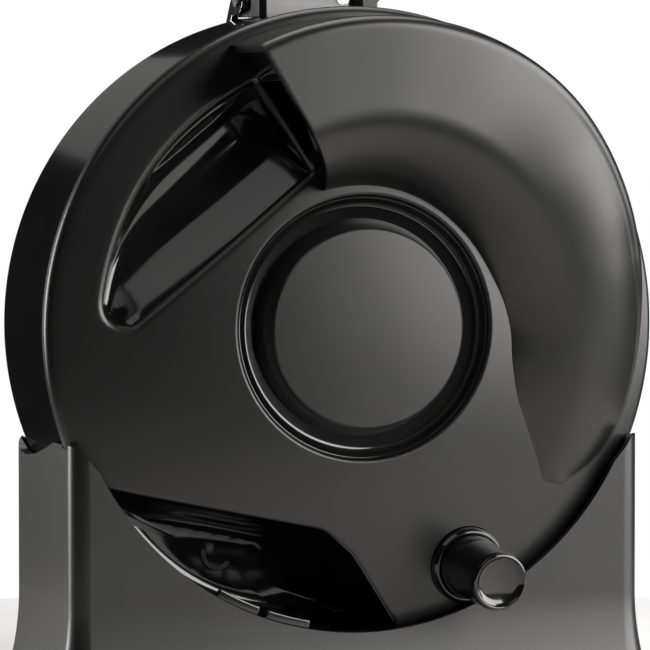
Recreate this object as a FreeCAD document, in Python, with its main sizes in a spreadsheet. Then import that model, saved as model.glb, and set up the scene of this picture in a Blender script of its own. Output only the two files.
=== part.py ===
import FreeCAD, Part
import math
import operator
import os
import Sketcher

# An upright electric can opener: a round drum standing in a cradle.  The rear face (-Y) is a domed
# cover with a knife sharpener, the front face (+Y) carries the drive wheel, and the lever that holds
# the cutter wheel is hinged on top.  The origin is on the surface it stands on, under the cradle.

Vector = FreeCAD.Vector
Rotation = FreeCAD.Rotation
doc = FreeCAD.newDocument("ElectricCanOpener")
sheet = doc.addObject("Spreadsheet::Sheet", "Sizes")

# ---------------------------------------------------------------- driving dimensions (mm, degrees)

SIZES = {
    # drum and cover
    "drum_radius": 83.9, "cover_radius": 85, "drum_depth": 48.3, "axis_height": 103,
    "shell_wall": 2.5, "cover_lip": 2.4, "dome_radius": 360, "dome_rise": 11.7, "edge_width": 5,
    "spigot_gap": 0.2, "drum_edge": 4,
    # cradle
    "cradle_half_width": 79.5, "cradle_depth": 58.5, "cradle_height": 73, "cradle_wall": 2.5,
    "cradle_set_back": 7.5, "cradle_corner": 5, "cradle_gap": 0.3, "window_radius": 81,
    "flare_height": 31, "flare_out": 5.7, "foot_radius": 6, "foot_drop": 1.2, "foot_height": 3.2,
    "base_thickness": 2, "notch_depth": 4.6, "notch_start": 21, "notch_length": 42, "rib_spread": 30,
    # recess, cap and button
    "recess_radius": 35, "recess_depth": 5, "cap_radius": 27.4, "cap_stand": 2.2, "cap_rim": 1.4,
    "button_x": 30.5, "button_drop": 64, "button_tilt": 8, "button_radius": 8.6, "button_end": 7.5,
    "button_length": 23, "button_travel": 2.5, "collar_radius": 9.9, "collar_height": 2.6,
    "stem_radius": 3, "slide_gap": 0.08,
    # sharpener
    "volute_height": 30.2, "volute_foot": 82.4, "volute_inner": 38.5, "volute_wall": 2,
    "wheel_radius": 12.6, "wheel_width": 6, "wheel_back": 11, "trough_floor": 2.3, "trough_wall": 1.6,
    "well_depth": 30, "insert_gap": 0.2,
    # motor
    "motor_x": 7, "motor_rise": 59, "stack_start": 3, "stack_length": 18, "core_half_width": 20,
    "pole_half": 15, "leg_depth": 28, "leg_height": 11, "coil_wall": 4, "rotor_radius": 11,
    "air_gap": 0.35, "shaft_radius": 2.5, "bearing_radius": 4, "running_gap": 0.04,
    "bracket_thickness": 1.5, "plate_start": 25.8, "plate_thickness": 1.5, "screw_radius": 1.5,
    # gear train
    "module_one": 0.7, "module_two": 0.9, "module_three": 1.25, "pinion_teeth": 10,
    "first_teeth": 50, "second_pinion_teeth": 10, "second_teeth": 40, "third_pinion_teeth": 12,
    "drive_teeth": 26, "face_width": 4, "gear_step": 1, "pin_radius": 1.5, "first_angle": -35,
    "flank_play": 0.09,
    # spindle and drive wheel
    "spindle_rise": 52, "spindle_radius": 3, "drive_wheel_radius": 6.5, "drive_wheel_width": 3,
    "drive_wheel_gap": 2, "serrations": 24, "bush_radius": 5.5,
    # lever, cutter and magnet
    "pivot_x": 9.3, "pivot_rise": 88, "pivot_radius": 2, "seat_rise": 82.2, "head_start": 36,
    "block_left": -12.5, "block_right": 11, "block_height": 9.4, "block_clear": 0.4,
    "knuckle_depth": 5, "bracket_right": 21, "bracket_height": 11, "flange_gap": 0.9,
    "flange_thickness": 3.2, "grip_left": -45, "grip_height": 10, "grip_depth": 21,
    "cutter_radius": 11, "cutter_width": 2.4, "cutter_x": -2, "cutter_overlap": 0.4,
    "stud_radius": 2.5, "lug_left": -17, "lug_width": 2.4, "strip_width": 2, "strip_gap": 0.15,
    "hinge_back": 4, "magnet_radius": 8, "magnet_height": 5, "magnet_reach": 65.7, "magnet_rise": 60,
    # switches, guides and gland
    "switch_length": 20, "switch_height": 6.4, "switch_depth": 10, "plunger_radius": 1.5,
    "plunger_travel": 1.2, "guide_spread": 15, "guide_radius": 3, "guide_reach": 4.5,
    "gland_radius": 6, "cord_bore": 3.2,
}


class Size:
    """A length or an angle: its number now, and the expression that ties it to the sheet."""

    def __init__(self, number, text):
        self.number = number
        self.text = text

    def __float__(self):
        return float(self.number)

    def __add__(self, other):
        return joined(self, "+", other)

    def __radd__(self, other):
        return joined(other, "+", self)

    def __sub__(self, other):
        return joined(self, "-", other)

    def __rsub__(self, other):
        return joined(other, "-", self)

    def __mul__(self, other):
        return joined(self, "*", other)

    def __rmul__(self, other):
        return joined(other, "*", self)

    def __truediv__(self, other):
        return joined(self, "/", other)

    def __neg__(self):
        return joined(0, "-", self)


SIGNS = {"+": operator.add, "-": operator.sub, "*": operator.mul, "/": operator.truediv}


def as_size(value):
    return value if isinstance(value, Size) else Size(float(value), f"({float(value):.9g})")


def joined(left, sign, right):
    left = as_size(left)
    right = as_size(right)
    return Size(SIGNS[sign](left.number, right.number), f"({left.text} {sign} {right.text})")


def root(value):
    return Size(math.sqrt(value.number), f"sqrt({value.text})")


def cosine(angle):
    return Size(math.cos(math.radians(angle.number)), f"cos({angle.text})")


def sine(angle):
    return Size(math.sin(math.radians(angle.number)), f"sin({angle.text})")


class Named:
    """Every driving dimension as an attribute."""


s = Named()
for row, (name, value) in enumerate(SIZES.items(), 1):
    sheet.set(f"A{row}", str(value))
    sheet.setAlias(f"A{row}", name)
    setattr(s, name, Size(float(value), f"Sizes.{name}"))
doc.recompute()

# ---------------------------------------------------------------- building blocks

ALONG_X = Rotation(Vector(0, 1, 0), 90)
ALONG_Y = Rotation(Vector(1, 0, 0), -90)
ALONG_Z = Rotation()
TOWARD_REAR = Rotation(Vector(1, 0, 0), 90)     # local Z to -Y, local Y to +Z
SIDE_VIEW = Rotation(Vector(1, 1, 1), 120)      # local X to +Y, local Y to +Z, local Z to +X
nodes = []


def put(item, at, turn=ALONG_Z):
    """Place an object at a point whose coordinates stay bound to the sheet."""
    item.Placement = FreeCAD.Placement(Vector(*(float(as_size(c)) for c in at)), turn)
    for axis, value in zip("xyz", at):
        item.setExpression(f"Placement.Base.{axis}", as_size(value).text)
    return item


def bind(item, **lengths):
    for name, value in lengths.items():
        item.setExpression(name, as_size(value).text)
    return item


def cylinder(radius, length, at, turn=ALONG_Y):
    item = bind(doc.addObject("Part::Cylinder", "Cylinder"), Radius=radius, Height=length)
    return put(item, at, turn)


def cone(first, last, length, at, turn=ALONG_Y):
    item = bind(doc.addObject("Part::Cone", "Cone"), Radius1=first, Radius2=last, Height=length)
    return put(item, at, turn)


def block(low, high):
    item = doc.addObject("Part::Box", "Block")
    sides = [as_size(b) - a for a, b in zip(low, high)]
    bind(item, Length=sides[0], Width=sides[1], Height=sides[2])
    return put(item, low)


def cut(base, *tools):
    item = doc.addObject("Part::Cut", "Cut")
    item.Base = base
    item.Tool = tools[0] if len(tools) == 1 else fuse(*tools)
    return item


def fuse(*items):
    item = doc.addObject("Part::MultiFuse", "Fuse")
    item.Shapes = list(items)
    return item


def common(*items):
    item = doc.addObject("Part::MultiCommon", "Common")
    item.Shapes = list(items)
    return item


def tube(outer, inner, length, at, turn=ALONG_Y):
    return cut(cylinder(outer, length, at, turn), cylinder(inner, length, at, turn))


def feature(shape, at=(0, 0, 0), turn=ALONG_Z):
    """A formula-made shape; the Placement comes after the Shape."""
    item = doc.addObject("Part::Feature", "Shaped")
    item.Shape = shape
    return put(item, at, turn)


def node(label, item):
    """Name a finished sub-part; its label names its file."""
    item.Label = label
    nodes.append(item)
    return item


def corner(point):
    return Vector(float(as_size(point[0])), float(as_size(point[1])), 0)


def arc_between(first, last, radius):
    """An arc from first to last; a positive radius bulges to the right of the way it goes."""
    middle = (first + last) / 2
    way = last - first
    half = way.Length / 2
    side = Vector(-way.y, way.x, 0).normalize() * math.copysign(1, radius)
    centre = middle + side * math.sqrt(radius * radius - half * half)
    start, end = (first, last) if radius > 0 else (last, first)
    circle = Part.Circle(centre, Vector(0, 0, 1), abs(radius))
    angles = [math.atan2(p.y - centre.y, p.x - centre.x) for p in (start, end)]
    return Part.ArcOfCircle(circle, *angles)


def draw(body, outline):
    """A closed sketch.  Each point is (x, y), or (x, y, radius) when an arc leads to it."""
    sketch = body.newObject("Sketcher::SketchObject", "Outline")
    plane = next(o for o in body.Origin.OriginFeatures if o.Role == "XY_Plane")
    sketch.AttachmentSupport = [(plane, "")]
    sketch.MapMode = "FlatFace"
    ends = []
    for index, point in enumerate(outline):
        before = corner(outline[index - 1])
        here = corner(point)
        if len(point) == 3:
            radius = float(as_size(point[2]))
            sketch.addGeometry(arc_between(before, here, radius), False)
            ends.append((1, 2) if radius > 0 else (2, 1))
        else:
            sketch.addGeometry(Part.LineSegment(before, here), False)
            ends.append((1, 2))
    for index, point in enumerate(outline):
        after = (index + 1) % len(outline)
        sketch.addConstraint(Sketcher.Constraint("Coincident", index, ends[index][1],
                                                 after, ends[after][0]))
        for kind, axis, value in (("DistanceX", -2, point[0]), ("DistanceY", -1, point[1])):
            value = as_size(value)
            end = ends[index][1]
            if abs(value.number) < 1e-9:
                sketch.addConstraint(Sketcher.Constraint("PointOnObject", index, end, axis))
                continue
            key = sketch.addConstraint(
                Sketcher.Constraint(kind, -1, 1, index, end, value.number))
            sketch.setExpression(f"Constraints[{key}]", value.text)
        if len(point) == 3:
            radius = as_size(point[2])
            bound = radius if radius.number > 0 else -radius
            key = sketch.addConstraint(Sketcher.Constraint("Radius", index, bound.number))
            sketch.setExpression(f"Constraints[{key}]", bound.text)
    return sketch


def turned(outline, at, turn=ALONG_Y):
    """A body revolved about its local Z; the outline is (radius, height) points."""
    body = doc.addObject("PartDesign::Body", "Turned")
    sketch = draw(body, outline)
    # the sketch lies in local XY, so its height is local Y and the revolved body is laid over
    solid = body.newObject("PartDesign::Revolution", "Revolution")
    solid.Profile = sketch
    solid.ReferenceAxis = (sketch, ["V_Axis"])
    solid.Angle = 360
    return put(body, at, turn * Rotation(Vector(1, 0, 0), 90))


def slab(outline, start, depth, turn=TOWARD_REAR):
    """A body padded from an outline: XZ outlines go from y=start to +Y, others along local Z."""
    body = doc.addObject("PartDesign::Body", "Slab")
    sketch = draw(body, outline)
    pad = body.newObject("PartDesign::Pad", "Pad")
    pad.Profile = sketch
    bind(pad, Length=depth)
    pad.Reversed = turn is TOWARD_REAR
    at = {"rear": (0, start, 0), "side": (start, 0, 0), "up": (0, 0, start)}
    key = "rear" if turn is TOWARD_REAR else "side" if turn is SIDE_VIEW else "up"
    return put(body, at[key], turn)


# ---------------------------------------------------------------- reference planes and points

rim = s.cradle_set_back - s.cradle_depth / 2          # Y of the cover's rim
centre = s.axis_height
front = rim + s.drum_depth                            # Y of the drum's front face
motor = (s.motor_x, centre + s.motor_rise)
spindle = (as_size(0), centre + s.spindle_rise)
pivot = (s.pivot_x, centre + s.pivot_rise)
seat = centre + s.seat_rise


def dome(radius):
    """Y of the cover's outer surface at a distance from the drum's axis."""
    return rim - s.dome_rise + s.dome_radius - root(s.dome_radius * s.dome_radius - radius * radius)


def meet(first, last, from_first, from_last):
    """The point at given distances from two others, on the lower side."""
    across = last[0] - first[0]
    along = last[1] - first[1]
    gap = root(across * across + along * along)
    reach = (from_first * from_first - from_last * from_last + gap * gap) / (2 * gap)
    lift = root(from_first * from_first - reach * reach)
    return (first[0] + (across * reach - along * lift) / gap,
            first[1] + (along * reach + across * lift) / gap)


def mesh_distance(module, teeth, more):
    return module * (teeth + more) / 2


first_gap = mesh_distance(s.module_one, s.pinion_teeth, s.first_teeth)
second_gap = mesh_distance(s.module_two, s.second_pinion_teeth, s.second_teeth)
third_gap = mesh_distance(s.module_three, s.third_pinion_teeth, s.drive_teeth)
gear_one_at = (motor[0] + first_gap * cosine(s.first_angle),
               motor[1] + first_gap * sine(s.first_angle))
gear_two_at = meet(gear_one_at, spindle, second_gap, third_gap)

# ---------------------------------------------------------------- rear cover and what it carries

edge_start = s.cover_radius - s.edge_width
edge_radius = s.edge_width * 1.6
inner_lip = s.cover_radius - (s.cover_radius - s.drum_radius) - s.shell_wall / 2
cover = turned([
    (s.recess_radius, dome(s.recess_radius) - rim),
    (edge_start, dome(edge_start) - rim, s.dome_radius),
    (s.cover_radius, 0, edge_radius),
    (s.cover_radius, s.cover_lip),
    (inner_lip, s.cover_lip),
    (inner_lip, s.shell_wall / 4),
    (edge_start - s.shell_wall, dome(edge_start - s.shell_wall) - rim + s.shell_wall),
    (s.recess_radius, dome(s.recess_radius) - rim + s.shell_wall,
     s.shell_wall - s.dome_radius),
], (0, rim, centre))


def polar(radius, angle, height):
    """A point over the cover: radius and angle about the drum's axis, height behind the rim."""
    turn = math.radians(angle)
    return Vector(radius * math.cos(turn), float(rim) - height,
                  float(centre) + radius * math.sin(turn))


def ease(value):
    value = max(0.0, min(1.0, value))
    return value * value * (3 - 2 * value)


MOUTH_ANGLE = 117      # where the volute's mouth faces, about the drum's axis
FADE_ANGLE = -38       # where the volute has sunk into the dome
SECTIONS = 15


def dome_height(radius):
    return float(rim) - float(dome(as_size(radius)))


def volute_section(angle, inset):
    """One closed cross-section of the volute, inset by its wall for the hollow."""
    share = (MOUTH_ANGLE - angle) / (MOUTH_ANGLE - FADE_ANGLE)
    foot = float(s.volute_foot) - inset
    inner = float(s.volute_inner) + 30 * share ** 3 + inset
    crest = float(s.volute_height) * (1 - ease((share - 0.22) / 0.78)) - inset
    crest_out = foot - 1.5 - 8 * share
    crest_in = inner + (crest_out - inner) * (0.55 - 0.2 * share)
    lift = [dome_height(foot), dome_height(crest_out), dome_height(crest_in), dome_height(inner)]
    sunk = 0 if inset else 1.2
    points = [
        (inner, lift[3] - sunk),
        (inner + (crest_in - inner) * 0.45, max(crest * 0.72, lift[2] - sunk / 2)),
        (crest_in, max(crest, lift[2] - sunk / 2)), (crest_out, max(crest, lift[1] - sunk / 2)),
        (foot, max(crest * 0.9 - 1, lift[0] - sunk / 2)), (foot, lift[0] - sunk),
    ]
    corners = [polar(radius, angle, height) for radius, height in points]
    return Part.makePolygon(corners + corners[:1])


def volute(inset, first=MOUTH_ANGLE, last=FADE_ANGLE):
    angles = [first + (last - first) * i / (SECTIONS - 1) for i in range(SECTIONS)]
    return Part.makeLoft([volute_section(a, inset) for a in angles], True, True)


wall_angle = math.degrees(float(s.volute_wall) / float(s.volute_foot))
hollow_end = FADE_ANGLE + 60
volute_skin = feature(volute(0))
volute_hollow = feature(volute(float(s.volute_wall), MOUTH_ANGLE + wall_angle, hollow_end))

WELL_WALL = 1.6
# outlines seen from behind, about the drum's axis; a third value is the radius of the arc to it
TROUGH = [(-28.8, 64.6), (-69.6, 9, 70.5), (-62.4, 1.5, 5.6), (-14.6, 41.4)]
WELL = [(-71, -41.2), (-66, -54, 40), (-40, -73, 80), (-5, -82, 80), (9.5, -79), (-2, -60),
        (-10.4, -53.5, 8)]


def opening(outline, inset, start, depth):
    """A prism of an outline over the cover, from y=start towards the front, inset all round."""
    edges = []
    for index, point in enumerate(outline):
        before = corner(outline[index - 1])
        here = corner(point)
        if len(point) == 3:
            edges.append(arc_between(before, here, point[2]).toShape())
        else:
            edges.append(Part.LineSegment(before, here).toShape())
    wire = Part.Wire(Part.__sortEdges__(edges))
    if inset:
        wire = wire.makeOffset2D(-inset)
    solid = Part.Face(wire).extrude(Vector(0, 0, -float(depth)))
    return feature(solid, (0, start, centre), TOWARD_REAR)


behind = rim - 2 * s.volute_height
through = 2 * s.volute_height + s.cover_lip
trough_hole = opening(TROUGH, 0, behind, through)
well_hole = opening(WELL, 0, behind, through)
motor_hole = cylinder(s.bearing_radius + 1, 2 * s.dome_rise, (motor[0], rim - s.dome_rise, motor[1]))

button_way = Rotation(Vector(float(s.button_drop), 0, float(s.button_x)), float(s.button_tilt))
button_reach = root(s.button_x * s.button_x + s.button_drop * s.button_drop)
button_at = (s.button_x, dome(button_reach), centre - s.button_drop)
TO_REAR = button_way * TOWARD_REAR
cup_radius = s.button_radius + s.slide_gap + s.cap_rim
cup_depth = 3 * s.shell_wall + s.cap_rim


def on_button(height):
    """A point on the button's axis, at a height above the cover."""
    way = TO_REAR.multVec(Vector(0, 0, 1))
    return tuple(at + height * part for at, part in zip(button_at, way))


button_hole = cylinder(cup_radius + s.slide_gap, 2 * cup_depth, on_button(-cup_depth), TO_REAR)

BOSS_ANGLES = (45, 195, 313)
boss_reach = s.drum_radius - s.shell_wall - 7


def bosses(radius, start, length):
    """The three screw towers that join the cover and the drum."""
    made = []
    for angle in BOSS_ANGLES:
        turn = as_size(angle)
        made.append(cylinder(radius, length, (boss_reach * cosine(turn), start,
                                              centre + boss_reach * sine(turn))))
    return made


boss_radius = 2.5 * s.screw_radius
cover_boss_end = rim + s.cover_lip + 2
cover_bosses = [common(tower, turned([
    (0, dome(s.recess_radius) - rim + s.shell_wall / 2),
    (edge_start, dome(edge_start) - rim + s.shell_wall / 2, s.dome_radius),
    (edge_start, 40), (0, 40)], (0, rim, centre)))
    for tower in bosses(boss_radius, rim - s.dome_rise, s.dome_rise + s.cover_lip + 2)]
node("rear_cover", cut(fuse(cover, cut(volute_skin, cylinder(
    edge_start, 3 * s.dome_rise, (0, rim - s.cover_lip, centre))), *cover_bosses),
    volute_hollow, trough_hole, well_hole, motor_hole, button_hole,
    *bosses(s.screw_radius, rim - 1, s.cover_lip + 4)))

# the tray that the knife is laid in, and the frame of the volute's mouth
under_dome = turned([
    (0, dome(s.recess_radius) - rim), (s.recess_radius, dome(s.recess_radius) - rim),
    (edge_start, dome(edge_start) - rim, s.dome_radius),
    (edge_start, s.drum_depth), (0, s.drum_depth)], (0, rim, centre))
tray_floor = rim + s.trough_floor
node("sharpener_trough", cut(
    common(opening(TROUGH, s.insert_gap, rim - s.dome_rise, s.dome_rise + s.trough_floor), under_dome),
    opening(TROUGH, s.insert_gap + s.trough_wall, behind,
            2 * s.volute_height + s.trough_floor - s.trough_wall)))

BEZEL_ANGLE = 108.5
BEZEL_TURN = 2.4
bezel_inset = float(s.volute_wall + s.insert_gap)
bezel_plug = feature(Part.makeLoft([volute_section(a, bezel_inset) for a in (
    BEZEL_ANGLE, BEZEL_ANGLE - BEZEL_TURN)], True, True))
mouth_way = Rotation(Vector(0, 1, 0), -BEZEL_ANGLE - 90)
slot_holes = [cylinder(s.wheel_width + grow, 12, (
    reach * cosine(as_size(BEZEL_ANGLE)) + 6, rim - back,
    centre + reach * sine(as_size(BEZEL_ANGLE)) + 3), Rotation(Vector(0, 1, 0), 90 + 180 - BEZEL_ANGLE))
    for reach, back, grow in ((62, 20.5, 0.3), (57, 19, -0.7), (53, 17, -2))]
node("mouth_bezel", cut(bezel_plug, *slot_holes))

# the gloss ring sunk in the middle of the cover, and the cap that stands in it
ring_top = dome(s.recess_radius) - rim
ring_floor = ring_top + s.recess_depth
ring_outer = s.recess_radius - s.insert_gap
cap_outer = s.cap_radius + s.cap_rim
node("recess_ring", turned([
    (s.cap_radius / 2, ring_floor), (ring_outer - s.cap_rim, ring_floor),
    (ring_outer - s.cap_rim, ring_top),
    (ring_outer, ring_top), (ring_outer, ring_floor + s.shell_wall),
    (s.cap_radius / 2, ring_floor + s.shell_wall)], (0, rim, centre)))
cap_face = -s.dome_rise - s.cap_stand
node("centre_cap", turned([
    (0, cap_face), (s.cap_radius, cap_face), (cap_outer, cap_face + s.cap_rim), (cap_outer, ring_floor),
    (cap_outer - s.shell_wall, ring_floor), (cap_outer - s.shell_wall, cap_face + s.shell_wall),
    (0, cap_face + s.shell_wall)], (0, rim, centre)))

# ---------------------------------------------------------------- push button and its switch

cup_inner = s.button_radius + s.slide_gap
node("button_collar", turned([
    (s.stem_radius + s.slide_gap, -cup_depth), (cup_radius, -cup_depth), (cup_radius, s.slide_gap * 9),
    (s.collar_radius, s.slide_gap * 9), (s.collar_radius, s.collar_height - 0.4),
    (s.collar_radius - 0.4, s.collar_height), (cup_inner, s.collar_height),
    (cup_inner, s.cap_rim - cup_depth), (s.stem_radius + s.slide_gap, s.cap_rim - cup_depth),
], button_at, TO_REAR))
barrel_foot = s.cap_rim - cup_depth + s.button_travel + 0.7
stem_foot = -cup_depth - s.cradle_set_back - s.button_travel
node("sharpener_button", turned([
    (0, stem_foot), (s.stem_radius, stem_foot), (s.stem_radius, barrel_foot),
    (s.button_radius, barrel_foot),
    (s.button_radius, s.collar_height + s.cap_rim), (s.button_end + 0.4, s.button_length - 0.8),
    (s.button_end, s.button_length), (s.button_end - 0.9, s.button_length),
    (0, s.button_length - 2, -3 * s.button_radius / 2)], button_at, TO_REAR))
coil = Part.makeHelix(1.05, float(barrel_foot - s.cap_rim + cup_depth) - 0.7, 5.2)
wire_ring = Part.Wire(Part.makeCircle(0.25, Vector(5.2, 0, 0), Vector(0, 1, 0)))
spring = Part.Wire(coil).makePipeShell([wire_ring], True, True)
node("button_spring", feature(spring, on_button(s.cap_rim - cup_depth + 0.35), TO_REAR))
plunger_gap = 0.1
plunger_length = s.button_travel + 4
switch_at = on_button(stem_foot - plunger_gap - s.button_travel - 0.4)
half_length = s.switch_length / 2
half_height = s.switch_height / 2
plunger_bore = cylinder(s.plunger_radius + s.slide_gap, 2 * plunger_length,
                        on_button(stem_foot - 2 * s.button_travel - 4), TO_REAR)
node("button_switch", cut(block(
    (switch_at[0] - half_length, switch_at[1], switch_at[2] - half_height),
    (switch_at[0] + half_length, switch_at[1] + s.switch_depth, switch_at[2] + half_height)), plunger_bore))
node("button_plunger", cylinder(s.plunger_radius, plunger_length - 0.5, on_button(
    stem_foot - plunger_gap - plunger_length + 0.5), TO_REAR))

# ---------------------------------------------------------------- front housing

inner_radius = s.drum_radius - s.shell_wall
floor = front - s.shell_wall
spigot = inner_lip - s.spigot_gap
drum = turned([
    (spigot, s.shell_wall / 4 + s.spigot_gap), (spigot, s.cover_lip), (s.drum_radius, s.cover_lip),
    (s.drum_radius, s.drum_depth - s.drum_edge),
    (s.drum_radius - s.drum_edge, s.drum_depth, s.drum_edge), (0, s.drum_depth),
    (0, s.drum_depth - s.shell_wall), (inner_radius - s.drum_edge / 2, s.drum_depth - s.shell_wall),
    (inner_radius, s.drum_depth - s.shell_wall - s.drum_edge / 2),
    (inner_radius, s.shell_wall / 4 + s.spigot_gap),
], (0, rim, centre))
head_rear = rim + s.head_start
seat_rear = head_rear - 2
seat_slab = block((s.lug_left - 0.5, seat_rear, seat - s.shell_wall),
                  (s.bracket_right + 0.5, front - s.shell_wall, seat))
seat_cut = block((s.lug_left - 0.5, seat_rear, seat), (s.bracket_right + 0.5, front + 1, seat + 10))
seat_slab = common(seat_slab, cylinder(s.drum_radius, s.drum_depth, (0, rim, centre)))
plate_front = rim + s.plate_start + s.plate_thickness
PLATE_POSTS = ((-20, 66), (-16, 20), (40, 22))
posts = [cylinder(boss_radius, floor - plate_front, (x, plate_front, centre + z)) for x, z in PLATE_POSTS]
post_holes = [cylinder(s.screw_radius, 9, (x, plate_front, centre + z)) for x, z in PLATE_POSTS]
switch_post = cylinder(s.guide_radius + 1, floor - switch_at[1] - s.switch_depth,
                       (switch_at[0], switch_at[1] + s.switch_depth, switch_at[2]))
SWITCH_BACK = 1.8      # from the lever's switch to the drum's front wall
SWITCH_DROP = 5.2      # from the lever's seat down to its switch
lever_switch_at = (s.block_left, front - s.shell_wall - SWITCH_BACK - s.switch_depth,
                   seat - SWITCH_DROP - s.switch_height)
switch_pad = block((lever_switch_at[0], lever_switch_at[1] + s.switch_depth, lever_switch_at[2]),
                   (lever_switch_at[0] + s.switch_length, floor, lever_switch_at[2] + s.switch_height))
towers = bosses(boss_radius, cover_boss_end + 0.2, floor - cover_boss_end - 0.2)
tower_holes = bosses(s.screw_radius + 0.15, rim, s.drum_depth + 1)
tower_sinks = bosses(2 * s.screw_radius + 0.15, front - 2, 3)
bush_hole = cylinder(s.bush_radius, 3 * s.shell_wall, (0, front - 2 * s.shell_wall, spindle[1]))
bush_boss = cylinder(s.bush_radius + 2, 1.6, (0, floor - 1.6, spindle[1]))
plunger_at = (lever_switch_at[0] + s.switch_length / 2 - 1, lever_switch_at[1] + s.switch_depth / 2)
top_hole = cylinder(s.plunger_radius + 0.4, 12, (plunger_at[0], plunger_at[1], seat - 8), ALONG_Z)
node("front_housing", cut(fuse(drum, seat_slab, bush_boss, switch_post, switch_pad, *posts, *towers),
                          seat_cut, bush_hole, top_hole, *post_holes, *tower_holes, *tower_sinks))

node("cover_screws", fuse(*bosses(s.screw_radius, rim + 0.5, s.drum_depth - 2.5),
                          *bosses(2 * s.screw_radius, front - 2, 1.6)))
node("plate_screws", fuse(
    *[cylinder(s.screw_radius, 8, (x, plate_front - s.plate_thickness, centre + z))
      for x, z in PLATE_POSTS],
    *[cylinder(2 * s.screw_radius, 1.4, (x, plate_front - s.plate_thickness - 1.4, centre + z))
      for x, z in PLATE_POSTS]))

# ---------------------------------------------------------------- cord storage and its gland

well_limit = cylinder(spigot - s.insert_gap, s.dome_rise + s.well_depth + 1, (0, rim - s.dome_rise, centre))
gland_at = (-30, rim + s.well_depth - WELL_WALL, centre - 62)
well_outer = common(
    opening(WELL, s.insert_gap, rim - s.dome_rise, s.dome_rise + s.well_depth), under_dome, well_limit)
well_inner = common(opening(WELL, s.insert_gap + WELL_WALL, behind,
                            2 * s.volute_height + s.well_depth - WELL_WALL),
                    cylinder(spigot - s.insert_gap - WELL_WALL, 3 * s.volute_height + s.well_depth,
                             (0, behind, centre)))
node("cord_well", cut(well_outer, well_inner, cylinder(
    s.gland_radius - 1, 3, (gland_at[0], gland_at[1] - 0.5, gland_at[2]))))
node("cord_gland", cut(fuse(
    cylinder(s.gland_radius - 1, WELL_WALL + 2, gland_at),
    cone(s.gland_radius - 1.6, s.gland_radius, 3, (gland_at[0], gland_at[1] - 3, gland_at[2]))),
    cylinder(s.cord_bore, 8, (gland_at[0], gland_at[1] - 4, gland_at[2]))))

# ---------------------------------------------------------------- cradle, base plate and feet

half_depth = s.cradle_depth / 2


def rounded_ring(height, out, inset):
    """A rounded rectangle round the cradle, spread outwards and inset by a wall."""
    across = float(s.cradle_half_width) + out - inset
    deep = float(half_depth) + out - inset
    radius = max(float(s.cradle_corner) + out - inset, 1)
    box_face = Part.makePlane(2 * across, 2 * deep, Vector(-across, -deep, height))
    return Part.Wire(box_face.makeOffset2D(-radius).makeOffset2D(radius).OuterWire.Edges)


def cradle_block(inset, low, high):
    """The cradle's outer form, or its hollow: straight sides above an outward flare."""
    top = float(s.flare_height)
    foot = float(low)
    waist = [foot + (top - foot) * i / 4 for i in range(5)]
    rings = [rounded_ring(z, float(s.flare_out) * ((top - z) / (top - foot)) ** 2, inset) for z in waist]
    flare = Part.makeLoft(rings, True, False)
    straight = Part.Face(rounded_ring(top, 0, inset)).extrude(Vector(0, 0, float(high) - top))
    return flare.fuse(straight).removeSplitter()


cradle_form = feature(cradle_block(0, s.foot_drop, s.cradle_height))
cradle_hollow = feature(cradle_block(float(s.cradle_wall), s.foot_drop, s.cradle_height + 1))
window = cylinder(s.window_radius, 2 * s.cradle_depth, (0, -s.cradle_depth, centre))
bed = cylinder(s.drum_radius + s.cradle_gap, s.drum_depth + 2 * s.cover_lip, (0, rim, centre))
rim_bed = cylinder(s.cover_radius + s.cradle_gap, 3 * s.cover_lip, (0, rim - 2 * s.cover_lip, centre))
notch_low = s.cradle_height - s.notch_depth
notch_from = rim + s.notch_start / 2
notch_to = notch_from + s.notch_length
notch = slab([
    (notch_from, s.cradle_height + 4), (notch_from, s.cradle_height),
    (notch_to - s.notch_length / 3, notch_low, 2.2 * s.notch_length),
    (notch_to, s.cradle_height, s.notch_length / 3), (notch_to, s.cradle_height + 4)],
    -s.cradle_half_width - 1, 2 * s.cradle_half_width + 2, SIDE_VIEW)
boss_x = s.cradle_half_width - s.cradle_wall - 4.5
boss_y = half_depth - s.cradle_wall - 4.5
plate_top = s.foot_height
CORNERS = [(i, j) for i in (-1, 1) for j in (-1, 1)]
corner_bosses = [cylinder(5, 20, (boss_x * i, boss_y * j, plate_top), ALONG_Z) for i, j in CORNERS]
boss_holes = [cylinder(s.screw_radius * 0.85, 12, (boss_x * i, boss_y * j, plate_top - 1), ALONG_Z)
              for i, j in CORNERS]
ribs = [block((s.rib_spread * i - 1.25, s.cradle_wall - half_depth - 0.2, plate_top),
              (s.rib_spread * i + 1.25, half_depth - s.cradle_wall + 0.2, s.cradle_height / 2))
        for i in (-1, 1)]
shell = cut(cradle_form, cradle_hollow, notch)
node("cradle_base", cut(fuse(shell, *corner_bosses, *ribs), cut(
    window, cylinder(s.window_radius + 5, s.cradle_depth - 2 * s.cradle_wall - 1,
                     (0, s.cradle_wall - half_depth + 0.5, centre))), bed, rim_bed, *boss_holes))

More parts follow.
